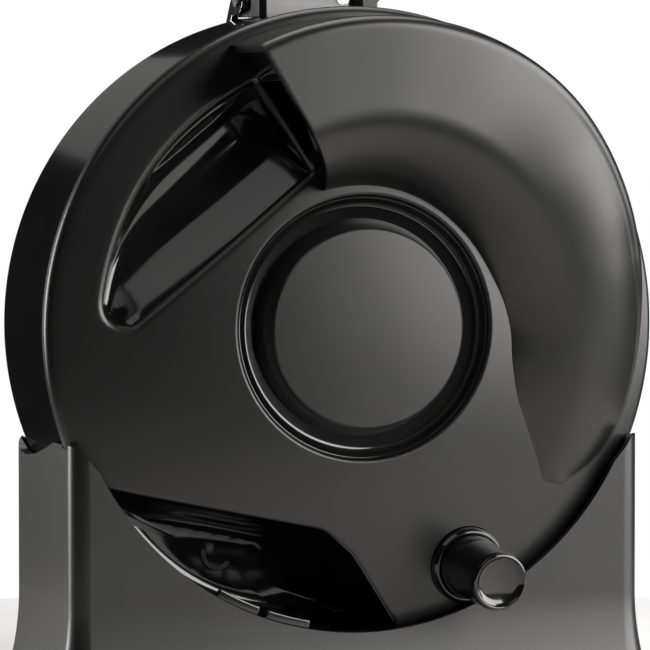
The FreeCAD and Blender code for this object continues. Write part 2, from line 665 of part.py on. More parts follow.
plate_outline = rounded_ring(0, float(s.flare_out) * 0.9, float(s.cradle_wall) + 0.3)
plate_form = feature(Part.Face(plate_outline).extrude(Vector(0, 0, float(s.base_thickness))),
                     (0, 0, s.foot_drop))
node("base_plate", cut(plate_form, *[cylinder(s.screw_radius + 0.2, 4, (boss_x * i, boss_y * j, 0), ALONG_Z)
                                     for i, j in CORNERS]))
foot_x = boss_x - 2.5 * s.foot_radius
node("rubber_feet", fuse(*[cone(s.foot_radius - 0.5, s.foot_radius, s.foot_drop,
                                (foot_x * i, boss_y * j * 0.9, 0), ALONG_Z) for i, j in CORNERS]))
node("base_screws", fuse(
    *[cylinder(s.screw_radius * 0.85, 10, (boss_x * i, boss_y * j, s.foot_drop), ALONG_Z)
      for i, j in CORNERS],
    *[cylinder(2 * s.screw_radius, 0.9, (boss_x * i, boss_y * j, s.foot_drop - 0.9), ALONG_Z)
      for i, j in CORNERS]))
clip_ring = tube(s.window_radius, s.window_radius - 2.4, 1.8, (0, -half_depth, centre))
wedges = [slab([(0, 0), (200 * cosine(as_size(a)), 200 * sine(as_size(a))),
                (200 * cosine(as_size(a + 9)), 200 * sine(as_size(a + 9)))], -half_depth - 1, 8)
          for a in (240, 250.5)]
for wedge in wedges:
    put(wedge, (0, -half_depth - 1, centre), TOWARD_REAR)
node("cord_clips", common(clip_ring, fuse(*wedges)))

# ---------------------------------------------------------------- motor

stack_from = rim + s.stack_start
stack_to = stack_from + s.stack_length
core_low = motor[1] - s.pole_half - s.leg_depth
window_half = s.core_half_width - 7
core = block((motor[0] - s.core_half_width, stack_from, core_low),
             (motor[0] + s.core_half_width, stack_to, motor[1] + s.pole_half))
core_bore = cylinder(s.rotor_radius + s.air_gap, s.stack_length, (motor[0], stack_from, motor[1]))
core_window = block((motor[0] - window_half, stack_from, core_low + s.leg_height),
                    (motor[0] + window_half, stack_to, motor[1] - s.pole_half))
UPPER_SPOT = (15.5, 10.5)      # across and above the motor's axis
LOWER_SPOT = (3.5, 8)          # in from the core's side, above its lower leg
HEAD_ROOM = 3.5
SHANK_IN_HEAD = 0.5
LOWER_HEAD = 1
screw_spots = [(motor[0] + i * UPPER_SPOT[0], motor[1] + UPPER_SPOT[1]) for i in (-1, 1)]
screw_spots += [(motor[0] + i * (s.core_half_width - LOWER_SPOT[0]),
                 core_low + s.leg_height + LOWER_SPOT[1]) for i in (-1, 1)]
plate_from = rim + s.plate_start
plate_to = plate_from + s.plate_thickness


def at_spots(radius, start, length):
    return [cylinder(radius, length, (x, start, z)) for x, z in screw_spots]


node("motor_core", cut(core, core_bore, core_window,
                       *at_spots(s.screw_radius, stack_from, s.stack_length)))
coil_half = window_half - 1
coil_low = core_low - s.coil_wall
leg_block = block((motor[0] - coil_half, stack_from, core_low),
                  (motor[0] + coil_half, stack_to, core_low + s.leg_height))
node("motor_coil", cut(block(
    (motor[0] - coil_half, stack_from - s.coil_wall, coil_low),
    (motor[0] + coil_half, stack_to + s.coil_wall, core_low + s.leg_height + s.coil_wall)), leg_block))
bush_bore = s.shaft_radius + s.running_gap
bracket_half = s.core_half_width - 1
rear_plate = block((motor[0] - bracket_half, rim, motor[1] - s.bearing_radius - 3),
                   (motor[0] + bracket_half, rim + s.bracket_thickness, motor[1] + s.pole_half - 1))
node("rear_bracket", cut(fuse(rear_plate, *at_spots(s.screw_radius + 1, rim, s.stack_start)[:2]),
                         cylinder(s.bearing_radius, 4, (motor[0], rim - 1, motor[1])),
                         *at_spots(s.screw_radius, rim - 1, s.stack_start + 2)[:2]))
node("rear_bush", tube(s.bearing_radius, bush_bore, 4, (motor[0], rim - 2, motor[1])))
node("front_bush", tube(s.bearing_radius, bush_bore, 3, (motor[0], plate_from - 1, motor[1])))
plate = common(block((-24, plate_from, centre + 12), (46, plate_to, centre + 76)),
               cylinder(78, s.drum_depth, (0, rim, centre)))
spacers = at_spots(s.screw_radius + 1, stack_to, plate_from - stack_to)
node("gearbox_plate", cut(
    fuse(plate, *spacers), cylinder(s.bearing_radius, 9, (motor[0], plate_from - 4, motor[1])),
    cylinder(s.spindle_radius + s.running_gap, 9, (spindle[0], plate_from - 4, spindle[1])),
    cylinder(s.pin_radius, 9, (gear_one_at[0], plate_from - 4, gear_one_at[1])),
    cylinder(s.pin_radius, 9, (gear_two_at[0], plate_from - 4, gear_two_at[1])),
    *at_spots(s.screw_radius, stack_to - 1, 9),
    *[cylinder(s.screw_radius, 4, (x, plate_from - 1, centre + z)) for x, z in PLATE_POSTS]))
HEAD_MORE = 1          # how much wider than its shank a screw's head is
upper_head = HEAD_ROOM - s.shell_wall       # the heads give way when the cover's wall is thicker
node("motor_screws", fuse(
    *at_spots(s.screw_radius, rim - SHANK_IN_HEAD, plate_to - rim + 2 * SHANK_IN_HEAD)[:2],
    *at_spots(s.screw_radius, stack_from - SHANK_IN_HEAD,
              plate_to - stack_from + 2 * SHANK_IN_HEAD)[2:],
    *at_spots(s.screw_radius + HEAD_MORE, rim - upper_head, upper_head)[:2],
    *at_spots(s.screw_radius + HEAD_MORE, stack_from - LOWER_HEAD, LOWER_HEAD)[2:]))
wheel_from = rim - s.wheel_back - s.wheel_width
shaft_from = wheel_from - 3
node("motor_shaft", cylinder(s.shaft_radius, plate_to + s.face_width + 2.5 - shaft_from,
                             (motor[0], shaft_from, motor[1])))
node("rotor", tube(s.rotor_radius, s.shaft_radius, s.stack_length, (motor[0], stack_from, motor[1])))
node("grinding_wheel", cut(
    cylinder(s.wheel_radius, s.wheel_width, (motor[0], wheel_from, motor[1])),
    cylinder(s.shaft_radius, s.wheel_width, (motor[0], wheel_from, motor[1]))))
NUT_REACH = 4.6        # from the nut's middle to a corner
NUT_HEIGHT = 2
nut_corners = [Vector(NUT_REACH * math.cos(math.radians(60 * i)),
                      NUT_REACH * math.sin(math.radians(60 * i)), 0) for i in range(7)]
nut = Part.Face(Part.makePolygon(nut_corners)).extrude(Vector(0, 0, -NUT_HEIGHT))
node("wheel_nut", cut(feature(nut, (motor[0], wheel_from - NUT_HEIGHT, motor[1]), TOWARD_REAR),
                      cylinder(s.shaft_radius, NUT_HEIGHT + 1,
                               (motor[0], wheel_from - NUT_HEIGHT - 0.5, motor[1]))))

# ---------------------------------------------------------------- gear train

PRESSURE = math.radians(25)
ADDENDUM = 0.8
DEDENDUM = 1.05
FLANK_STEPS = 4


def involute(angle):
    return math.tan(angle) - angle


def gear_form(teeth, module, width, phase):
    """A spur gear along local -Z with a tooth centred on the phase angle."""
    teeth = round(float(teeth))
    module = float(module)
    pitch = module * teeth / 2
    base = pitch * math.cos(PRESSURE)
    tip = pitch + ADDENDUM * module
    foot = pitch - DEDENDUM * module
    half = (math.pi * module / 4 - float(s.flank_play)) / pitch
    start = max(base, foot)
    flank = []
    for i in range(FLANK_STEPS + 1):
        radius = start + (tip - start) * i / FLANK_STEPS
        rolled = involute(math.acos(min(1, base / radius)))
        flank.append((radius, half + involute(PRESSURE) - rolled))
    if foot < base:
        flank.insert(0, (foot, flank[0][1]))
    points = []
    for tooth in range(teeth):
        middle = math.radians(phase) + 2 * math.pi * tooth / teeth
        sides = [(radius, -turn) for radius, turn in flank] + flank[::-1]
        for radius, turn in sides:
            points.append(Vector(radius * math.cos(middle + turn),
                                 radius * math.sin(middle + turn), 0))
    face = Part.Face(Part.makePolygon(points + points[:1]))
    return face.extrude(Vector(0, 0, -float(width)))


def toward(first, last):
    return math.degrees(math.atan2(float(last[1] - first[1]), float(last[0] - first[0])))


def gear(at, start, teeth, module, width, phase):
    return feature(gear_form(teeth, module, width, phase), (at[0], start, at[1]), TOWARD_REAR)


def gap_phase(angle, teeth):
    """The phase that leaves a gap between teeth, not a tooth, at an angle."""
    return angle + 180 / float(teeth)


layer_one = plate_to + s.gear_step
layer_two = layer_one + s.face_width + s.gear_step
layer_three = layer_two + s.face_width + s.gear_step
pin_bore = s.pin_radius + s.running_gap
one_to_two = toward(gear_one_at, gear_two_at)
two_to_spindle = toward(gear_two_at, spindle)
one_to_motor = toward(gear_one_at, motor)
node("pinion", cut(gear(motor, plate_to + s.gear_step, s.pinion_teeth, s.module_one, s.face_width + 0.5,
                        one_to_motor + 180),
                   cylinder(s.shaft_radius, 9, (motor[0], plate_to, motor[1]))))
node("gear_one", cut(fuse(
    gear(gear_one_at, layer_one, s.first_teeth, s.module_one, s.face_width,
         gap_phase(one_to_motor, s.first_teeth)),
    gear(gear_one_at, layer_one + s.face_width, s.second_pinion_teeth, s.module_two,
         s.face_width + s.gear_step, one_to_two)),
    cylinder(pin_bore, 16, (gear_one_at[0], plate_to, gear_one_at[1]))))
node("gear_two", cut(fuse(
    gear(gear_two_at, layer_two, s.second_teeth, s.module_two, s.face_width,
         gap_phase(one_to_two + 180, s.second_teeth)),
    gear(gear_two_at, layer_two + s.face_width, s.third_pinion_teeth, s.module_three,
         s.face_width + s.gear_step, two_to_spindle)),
    cylinder(pin_bore, 22, (gear_two_at[0], plate_to, gear_two_at[1]))))
node("drive_gear", cut(gear(spindle, layer_three, s.drive_teeth, s.module_three, s.face_width,
                            gap_phase(two_to_spindle + 180, s.drive_teeth)),
                       cylinder(s.spindle_radius, 9, (spindle[0], layer_three - 1, spindle[1]))))
gears_end = layer_three + s.face_width
node("axle_one", cylinder(s.pin_radius, layer_two + s.face_width + 1.5 - plate_from,
                          (gear_one_at[0], plate_from, gear_one_at[1])))
node("axle_two", cylinder(s.pin_radius, gears_end + 1 - plate_from,
                          (gear_two_at[0], plate_from, gear_two_at[1])))
node("spindle_bush", cut(fuse(
    cylinder(s.bush_radius, s.shell_wall + 1.6, (0, floor - 1.6, spindle[1])),
    cylinder(s.bush_radius + 1.2, 0.8, (0, front, spindle[1]))),
    cylinder(s.spindle_radius + s.running_gap, 16, (0, floor - 4, spindle[1]))))
wheel_start = front + s.drive_wheel_gap
node("drive_spindle", cylinder(s.spindle_radius, wheel_start + s.drive_wheel_width - plate_from + 1.5,
                               (0, plate_from - 0.5, spindle[1])))
SERRATION = 0.55
saw = []
for i in range(2 * round(float(s.serrations))):
    angle = math.pi * i / round(float(s.serrations))
    radius = float(s.drive_wheel_radius) - SERRATION * (i % 2)
    saw.append(Vector(radius * math.cos(angle), radius * math.sin(angle), 0))
saw_face = Part.Face(Part.makePolygon(saw + saw[:1]))
node("drive_wheel", cut(
    feature(saw_face.extrude(Vector(0, 0, -float(s.drive_wheel_width))),
            (0, wheel_start, spindle[1]), TOWARD_REAR),
    cylinder(s.spindle_radius, 9, (0, wheel_start - 1, spindle[1]))))

# ---------------------------------------------------------------- lever, cutter and magnet

block_low = seat + s.block_clear
block_top = block_low + s.block_height
flange_from = front + s.flange_gap
flange_to = flange_from + s.flange_thickness
cutter_at = (s.cutter_x, spindle[1] + s.drive_wheel_radius + s.cutter_radius - s.cutter_overlap)
knuckle_edge = pivot[0] - s.knuckle_depth - s.slide_gap * 9
head_front = front - 0.3
arm_rear = block((s.block_left, head_rear, block_low),
                 (s.block_right, head_rear + s.knuckle_depth, block_top))
arm_main = block((s.block_left, head_rear, block_low), (knuckle_edge, flange_to, block_top))
boss_round = s.stud_radius + 3.5
flange = slab([
    (s.block_left, block_top), (s.block_left, cutter_at[1] + boss_round),
    (cutter_at[0] - boss_round, cutter_at[1]),
    (cutter_at[0], cutter_at[1] - boss_round, boss_round),
    (cutter_at[0] + boss_round, cutter_at[1], boss_round), (knuckle_edge, block_low),
    (knuckle_edge, block_top)],
    flange_from, s.flange_thickness)
arm_cut = cylinder(s.drum_radius + s.block_clear, s.drum_depth - s.head_start + s.block_clear,
                   (0, head_rear, centre))
arm_cut = cut(arm_cut, block((-60, head_rear - 1, block_low), (60, front + 9, block_low + 20)))
node("lever_arm", cut(fuse(cut(fuse(arm_rear, arm_main), arm_cut), flange),
                      cylinder(s.pivot_radius + s.running_gap, 30, (pivot[0], head_rear - 2, pivot[1])),
                      cylinder(s.stud_radius, 9, (cutter_at[0], flange_from - 2, cutter_at[1]))))
grip_right = s.block_right - 9
grip_bar = slab([
    (s.grip_left, block_top), (grip_right, block_top), (grip_right, block_top + s.grip_height - 3),
    (grip_right - 3, block_top + s.grip_height, 3), (s.grip_left + 5, block_top + s.grip_height - 1),
    (s.grip_left, block_top + s.grip_height - 6, 5)], head_rear - 2, s.grip_depth)
lug = block((s.lug_left, head_rear, block_low), (s.lug_left + s.lug_width, head_rear + 14, block_top + 1))
hinge_at = (head_rear + s.hinge_back, pivot[1])
node("lever_grip", cut(fuse(grip_bar, lug), cylinder(
    s.pin_radius, 8, (s.lug_left - 2, hinge_at[0], hinge_at[1]), ALONG_X)))
PIN_OUT = 0.3          # how far the pivot pin stands out behind the head
node("pivot_pin", cylinder(s.pivot_radius, head_front + PIN_OUT - head_rear,
                           (pivot[0], head_rear - PIN_OUT, pivot[1])))
bracket_low = seat - 2
bracket_top = block_low + s.bracket_height
knuckle_from = head_rear + s.knuckle_depth + s.slide_gap * 4
bracket = fuse(
    cylinder(s.knuckle_depth, head_front - knuckle_from, (pivot[0], knuckle_from, pivot[1])),
    block((pivot[0] - s.knuckle_depth, knuckle_from, bracket_low),
          (s.bracket_right - 2, head_front, pivot[1])),
    slab([(s.bracket_right - 6, bracket_low), (s.bracket_right - 1.6, bracket_low),
          (s.bracket_right - 1.6, pivot[1] - 1.4), (s.bracket_right, pivot[1] + 0.5),
          (s.bracket_right, bracket_top), (s.bracket_right - 6, bracket_top)],
         head_rear, head_front - head_rear))
drum_form = cut(cylinder(s.drum_radius, s.drum_depth, (0, rim, centre)), seat_cut)
node("pivot_bracket", cut(bracket, drum_form,
                          cylinder(s.pivot_radius, 30, (pivot[0], head_rear - 2, pivot[1]))))

CUTTER_STEP = 0.7      # from the drive wheel's face to the cutter's
SIDE_PLAY = 0.1
cutter_from = front + s.drive_wheel_gap + s.drive_wheel_width + CUTTER_STEP
stud_head_from = cutter_from + s.cutter_width + SIDE_PLAY
node("cutter_stud", fuse(
    cylinder(s.stud_radius, stud_head_from - flange_from, (cutter_at[0], flange_from, cutter_at[1])),
    cylinder(s.stud_radius + 1.5, cutter_from - SIDE_PLAY - flange_to,
             (cutter_at[0], flange_to, cutter_at[1])),
    cylinder(s.stud_radius + 2, 1.8, (cutter_at[0], stud_head_from, cutter_at[1]))))
node("cutter_wheel", turned([
    (s.stud_radius + s.running_gap, 0), (s.cutter_radius - 1.6, 0), (s.cutter_radius, 0.25),
    (s.cutter_radius - 2.6, s.cutter_width), (s.stud_radius + s.running_gap, s.cutter_width)],
    (cutter_at[0], cutter_from, cutter_at[1])))

strip_x = s.lug_left - s.strip_gap - s.strip_width
arm_end = rim + s.magnet_reach
magnet_top = centre + s.magnet_rise + s.magnet_height
strip = slab([
    (hinge_at[0] - 3.6, hinge_at[1]), (hinge_at[0], hinge_at[1] - 4.4, 5.0),
    (hinge_at[0] + 6, hinge_at[1] - 5), (arm_end - 9, magnet_top), (arm_end + 6, magnet_top),
    (arm_end + 6, magnet_top + 4), (arm_end - 6, magnet_top + 5), (hinge_at[0] + 8, hinge_at[1] - 1),
    (hinge_at[0], hinge_at[1] + 3.8), (hinge_at[0] - 3.6, hinge_at[1] + 2)],
    strip_x, s.strip_width, SIDE_VIEW)
magnet_x = strip_x + s.strip_width + s.magnet_radius / 2
node("magnet_arm", cut(fuse(strip, block(
    (strip_x, arm_end - 6, magnet_top), (magnet_x + 5, arm_end + 6, magnet_top + 1.6))), cylinder(
        s.pin_radius + s.running_gap, 9, (strip_x - 3, hinge_at[0], hinge_at[1]), ALONG_X)))
node("magnet", cylinder(s.magnet_radius, s.magnet_height,
                        (magnet_x, arm_end, magnet_top - s.magnet_height), ALONG_Z))
node("hinge_pin", fuse(
    cylinder(s.pin_radius, s.strip_width + s.strip_gap * 2 + s.lug_width, (
        strip_x - s.strip_gap, hinge_at[0], hinge_at[1]), ALONG_X),
    cylinder(s.pin_radius + 1.2, 1, (strip_x - s.strip_gap - 1, hinge_at[0], hinge_at[1]), ALONG_X)))

# ---------------------------------------------------------------- lever switch and front guides

BORE_FOOT = 2.6        # what is left under the plunger's bore
node("lever_switch", cut(block(lever_switch_at, (
    lever_switch_at[0] + s.switch_length, lever_switch_at[1] + s.switch_depth,
    lever_switch_at[2] + s.switch_height)), cylinder(
        s.plunger_radius + s.slide_gap, 9,
        (plunger_at[0], plunger_at[1], lever_switch_at[2] + BORE_FOOT), ALONG_Z)))
plunger_low = lever_switch_at[2] + BORE_FOOT + s.plunger_travel + 0.4
node("lever_plunger", cylinder(s.plunger_radius, block_low - 0.15 - plunger_low, (
    plunger_at[0], plunger_at[1], plunger_low), ALONG_Z))
node("can_guides", fuse(*[cylinder(s.guide_radius, s.guide_reach,
                                   (s.guide_spread * i, front, spindle[1] + 3)) for i in (-1, 1)]))
REST_HALF = 16
REST_LOW = 22          # below the drum's axis
REST_HEIGHT = 5
rest_low = centre - REST_LOW
rest_high = rest_low + REST_HEIGHT
node("can_rest", slab([(-REST_HALF, rest_low), (REST_HALF, rest_low), (REST_HALF, rest_high),
                       (-REST_HALF, rest_high)], front, 2.6))

# ---------------------------------------------------------------- check and write

doc.recompute()
failed = [item.Name for item in doc.Objects if "Invalid" in item.State or "Error" in item.State]
failed += [item.Label for item in nodes if item.Shape.isNull() or not item.Shape.isValid()]
if failed:
    raise RuntimeError("failed objects: " + ", ".join(failed))
os.makedirs("parts", exist_ok=True)
for item in nodes:
    item.Shape.exportStep(f"parts/{item.Label}.step")
    print(f"{item.Label}: {item.Shape.Volume:.1f} mm3")
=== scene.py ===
import math

import bmesh
import bpy
import numpy as np
from mathutils import Matrix, Vector
from mathutils.geometry import delaunay_2d_cdt


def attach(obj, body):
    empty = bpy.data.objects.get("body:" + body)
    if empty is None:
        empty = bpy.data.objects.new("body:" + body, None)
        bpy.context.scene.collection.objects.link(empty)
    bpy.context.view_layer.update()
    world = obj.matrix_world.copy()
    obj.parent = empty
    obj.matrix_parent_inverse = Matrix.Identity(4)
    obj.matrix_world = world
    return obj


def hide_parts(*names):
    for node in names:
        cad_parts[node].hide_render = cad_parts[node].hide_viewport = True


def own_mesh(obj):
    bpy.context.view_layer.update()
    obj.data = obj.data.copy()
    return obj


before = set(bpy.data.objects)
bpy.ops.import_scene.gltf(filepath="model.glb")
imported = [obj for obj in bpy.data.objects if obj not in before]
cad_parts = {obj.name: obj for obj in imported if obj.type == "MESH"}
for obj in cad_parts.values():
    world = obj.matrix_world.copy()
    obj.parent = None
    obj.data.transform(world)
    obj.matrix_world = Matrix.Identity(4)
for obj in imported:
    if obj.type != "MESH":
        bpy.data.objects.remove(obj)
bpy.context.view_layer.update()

# Lengths are in millimetres.  The cover frame has its origin on the drum's axis in the plane of the
# cover's rim: x to the right, y up and z out of the cover, towards the rear.
MM = 0.001
RIM = -21.75
AXIS = 103
FRONT = 26.55
DEPTH = FRONT - RIM
COVER = Matrix.Translation((0, RIM, AXIS)) @ Matrix.Rotation(math.pi / 2, 4, "X")
WORLD = Matrix()

# ---------------------------------------------------------------- materials


def node_tree(name):
    material = bpy.data.materials.new(name)
    material.use_nodes = True
    nodes = material.node_tree.nodes
    return material, nodes, material.node_tree.links, nodes["Principled BSDF"]


def ranged(nodes, links, source, low, high, start=0.35, end=0.65):
    """A factor spread over low..high."""
    spread = nodes.new("ShaderNodeMapRange")
    spread.inputs["From Min"].default_value = start
    spread.inputs["From Max"].default_value = end
    spread.inputs["To Min"].default_value = low
    spread.inputs["To Max"].default_value = high
    links.new(source, spread.inputs["Value"])
    return spread.outputs["Result"]


def noise(nodes, links, size, detail=3, stretch=(1, 1, 1)):
    """Noise whose features are about this many millimetres across."""
    place = nodes.new("ShaderNodeTexCoord")
    scale = nodes.new("ShaderNodeMapping")
    scale.inputs["Scale"].default_value = stretch
    texture = nodes.new("ShaderNodeTexNoise")
    texture.inputs["Scale"].default_value = 1 / (size * MM)
    texture.inputs["Detail"].default_value = detail
    links.new(place.outputs["Object"], scale.inputs["Vector"])
    links.new(scale.outputs["Vector"], texture.inputs["Vector"])
    return texture.outputs["Fac"]


def finish_of(name, dark, light, rough, grain=0.35, bump=0.02, cloud=18, metal=0.0, stretch=(1, 1, 1),
              coat=0.0):
    """A moulded, cast or brushed surface: fine grain in the bump and the gloss, slow clouds in colour."""
    material, nodes, links, shader = node_tree(name)
    shader.inputs["Metallic"].default_value = metal
    shader.inputs["Coat Weight"].default_value = coat
    shader.inputs["Coat Roughness"].default_value = 0.05
    clouds = noise(nodes, links, cloud, 4, stretch)
    fine = noise(nodes, links, grain, 2, stretch)
    mix = nodes.new("ShaderNodeValToRGB")
    mix.color_ramp.elements[0].position = 0.35
    mix.color_ramp.elements[1].position = 0.65
    mix.color_ramp.elements[0].color = (*dark, 1)
    mix.color_ramp.elements[1].color = (*light, 1)
    links.new(clouds, mix.inputs["Fac"])
    links.new(mix.outputs["Color"], shader.inputs["Base Color"])
    links.new(ranged(nodes, links, fine, *rough), shader.inputs["Roughness"])
    relief = nodes.new("ShaderNodeBump")
    relief.inputs["Strength"].default_value = 0.6
    relief.inputs["Distance"].default_value = bump * MM
    links.new(fine, relief.inputs["Height"])
    links.new(relief.outputs["Normal"], shader.inputs["Normal"])
    return material


def grey(level):
    return (level, level * 0.985, level * 0.97)


def wound(name):
    """Enamelled copper wire laid in turns."""
    material = finish_of(name, (0.32, 0.11, 0.04), (0.5, 0.2, 0.08), (0.22, 0.4), metal=0.9)
    nodes, links = material.node_tree.nodes, material.node_tree.links
    place = nodes.new("ShaderNodeTexCoord")
    turns = nodes.new("ShaderNodeTexWave")
    turns.bands_direction = "Z"
    turns.inputs["Scale"].default_value = 1 / (3.2 * MM)
    links.new(place.outputs["Object"], turns.inputs["Vector"])
    relief = nodes["Bump"]
    relief.inputs["Distance"].default_value = 0.15 * MM
    links.new(turns.outputs["Fac"], relief.inputs["Height"])
    return material


FINISH = {
    "satin_black": dict(dark=grey(0.005), light=grey(0.0065), rough=(0.3, 0.36), grain=0.3, bump=0.006),
    "gloss_black": dict(dark=grey(0.004), light=grey(0.006), rough=(0.1, 0.115), grain=3, bump=0.001,
                        coat=0.3),
    "cap_grey": dict(dark=grey(0.008), light=grey(0.011), rough=(0.3, 0.4), grain=0.22, bump=0.012),
    "spring_steel": dict(dark=grey(0.42), light=grey(0.55), rough=(0.22, 0.36), metal=1.0),
    "switch_black": dict(dark=grey(0.012), light=grey(0.02), rough=(0.5, 0.62), bump=0.03),
    "screw_steel": dict(dark=grey(0.4), light=grey(0.52), rough=(0.25, 0.4), metal=1.0, grain=0.2),
    "rubber_black": dict(dark=grey(0.014), light=grey(0.03), rough=(0.65, 0.85), grain=0.5, bump=0.05),
    "cradle_grey": dict(dark=grey(0.006), light=grey(0.009), rough=(0.3, 0.38), grain=0.3, bump=0.008),
    "base_black": dict(dark=grey(0.012), light=grey(0.02), rough=(0.48, 0.6), grain=0.6, bump=0.04),
    "lamination": dict(dark=grey(0.1), light=grey(0.2), rough=(0.4, 0.6), metal=0.9, grain=0.5,
                       stretch=(0.05, 1, 0.05), bump=0.08),
    "zinc_plate": dict(dark=(0.5, 0.48, 0.42), light=(0.62, 0.62, 0.6), rough=(0.25, 0.42), metal=1.0,
                       grain=1.2, cloud=5),
    "brass": dict(dark=(0.5, 0.33, 0.12), light=(0.66, 0.47, 0.2), rough=(0.2, 0.34), metal=1.0, grain=0.3),
    "axle_steel": dict(dark=grey(0.45), light=grey(0.6), rough=(0.16, 0.3), metal=1.0, grain=0.25,
                       stretch=(1, 1, 0.15)),
    "bracket_black": dict(dark=grey(0.012), light=grey(0.02), rough=(0.3, 0.42), grain=0.3, bump=0.01),
    "rotor_alloy": dict(dark=grey(0.35), light=grey(0.5), rough=(0.3, 0.5), metal=1.0, grain=0.8),
    "abrasive": dict(dark=(0.2, 0.21, 0.23), light=(0.42, 0.43, 0.45), rough=(0.8, 0.95), grain=0.25,
                     bump=0.2, cloud=0.6),
    "nylon": dict(dark=(0.68, 0.66, 0.6), light=(0.78, 0.77, 0.72), rough=(0.4, 0.52), grain=0.6),
    "hard_steel": dict(dark=grey(0.5), light=grey(0.62), rough=(0.14, 0.26), metal=1.0, grain=0.2,
                       stretch=(0.2, 1, 0.2)),
    "cast_grey": dict(dark=(0.17, 0.165, 0.16), light=(0.22, 0.215, 0.21), rough=(0.4, 0.52), metal=0.6,
                      grain=0.3, bump=0.015),
    "polished_steel": dict(dark=grey(0.62), light=grey(0.72), rough=(0.08, 0.16), metal=1.0, grain=0.4),
    "magnet_black": dict(dark=grey(0.03), light=grey(0.06), rough=(0.3, 0.45), metal=0.4, grain=0.4,
                         bump=0.02),
    "plunger_red": dict(dark=(0.35, 0.015, 0.01), light=(0.45, 0.03, 0.02), rough=(0.35, 0.45)),
}
MATERIALS = {name: finish_of(name + "_finish", **values) for name, values in FINISH.items()}
MATERIALS["copper"] = wound("copper_finish")

# ---------------------------------------------------------------- making pieces


def applied(obj):
    """The object's own mesh with its modifiers carried out."""
    graph = bpy.context.evaluated_depsgraph_get()
    result = bpy.data.meshes.new_from_object(obj.evaluated_get(graph))
    obj.modifiers.clear()
    obj.data = result


def raw(name, points, faces, place=WORLD):
    """An object in metres from points in millimetres, with doubles merged and its faces turned out."""
    mesh = bpy.data.meshes.new(name)
    mesh.from_pydata([tuple((place @ Vector(p)) * MM) for p in points], [], faces)
    solid = bmesh.new()
    solid.from_mesh(mesh)
    bmesh.ops.remove_doubles(solid, verts=solid.verts, dist=0.002 * MM)
    bmesh.ops.recalc_face_normals(solid, faces=solid.faces)
    solid.to_mesh(mesh)
    solid.free()
    obj = bpy.data.objects.new(name, mesh)
    bpy.context.scene.collection.objects.link(obj)
    return obj


def modify(obj, kind, **values):
    modifier = obj.modifiers.new(kind.lower(), kind)
    for name, value in values.items():
        setattr(modifier, name, value)
    return modifier


def carve(obj, *cutters, operation="DIFFERENCE"):
    """Cuts closed shapes out of an object, or joins them to it."""
    for cutter in cutters:
        modify(obj, "BOOLEAN", object=cutter, operation=operation, solver="EXACT")
        bpy.context.view_layer.update()
        applied(obj)
    for cutter in cutters:
        bpy.data.objects.remove(cutter)


def face_rear(obj):
    """Turns an open skin so that its outer side is the one towards the rear."""
    outward = sum((f.normal * f.area for f in obj.data.polygons), Vector())
    if outward.y > 0:
        obj.data.flip_normals()


def soft_edges(obj, width, angle=40, segments=3):
    modify(obj, "BEVEL", width=width * MM, segments=segments, limit_method="ANGLE",
           angle_limit=math.radians(angle), use_clamp_overlap=True)
    bpy.context.view_layer.update()
    applied(obj)


def flattened(obj):
    """Joins the faces that lie in one plane, so that they shade as one."""
    solid = bmesh.new()
    solid.from_mesh(obj.data)
    bmesh.ops.dissolve_limit(solid, angle_limit=math.radians(0.3), verts=solid.verts, edges=solid.edges)
    solid.to_mesh(obj.data)
    solid.free()


def done(obj, body, slot, *nodes, sharp=35):
    """Shades a piece, gives it its finish and ties it to its body and the CAD nodes it stands for."""
    obj.data.shade_smooth()
    obj.data.set_sharp_from_angle(angle=math.radians(sharp))
    obj.data.materials.clear()
    obj.data.materials.append(MATERIALS[slot])
    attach(obj, body)
    if nodes:
        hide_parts(*nodes)
    return obj


def softened(outline, steps=6):
    """A closed outline whose corners with a third value are rounded to that radius."""
    result = []
    for index, point in enumerate(outline):
        here = Vector(point[:2])
        if len(point) < 3:
            result.append(tuple(here))
            continue
        back = Vector(outline[index - 1][:2]) - here
        ahead = Vector(outline[(index + 1) % len(outline)][:2]) - here
        half = back.angle(ahead) / 2
        reach = min(point[2] / math.tan(half), 0.49 * back.length, 0.49 * ahead.length)
        radius = reach * math.tan(half)
        middle = here + (back.normalized() + ahead.normalized()).normalized() * (radius / math.sin(half))
        first = here + back.normalized() * reach - middle
        last = here + ahead.normalized() * reach - middle
        turn = math.atan2(first.x * last.y - first.y * last.x, first.dot(last))
        for step in range(steps + 1):
            spin = Matrix.Rotation(turn * step / steps, 2)
            result.append(tuple(middle + spin @ first))
    return result


def lathe(name, outline, place=COVER, segments=192):
    """A closed outline of (radius, height) points turned about the local z axis."""
    points, faces = [], []
    count = len(outline)
    for radius, height in outline:
        for k in range(segments):
            turn = 2 * math.pi * k / segments
            points.append((radius * math.cos(turn), radius * math.sin(turn), height))
    for i in range(count):
        j = (i + 1) % count
        if max(outline[i][0], outline[j][0]) < 1e-6:
            continue
        for k in range(segments):
            n = (k + 1) % segments
            faces.append((i * segments + k, i * segments + n, j * segments + n, j * segments + k))
    return raw(name, points, faces, place)


def prism(name, outline, low, high, place=WORLD):
    """A closed outline drawn out along the local z axis."""
    count = len(outline)
    points = [(x, y, low) for x, y in outline] + [(x, y, high) for x, y in outline]
    faces = [tuple(range(count)), tuple(range(count, 2 * count))]
    faces += [(i, (i + 1) % count, count + (i + 1) % count, count + i) for i in range(count)]
    return raw(name, points, faces, place)


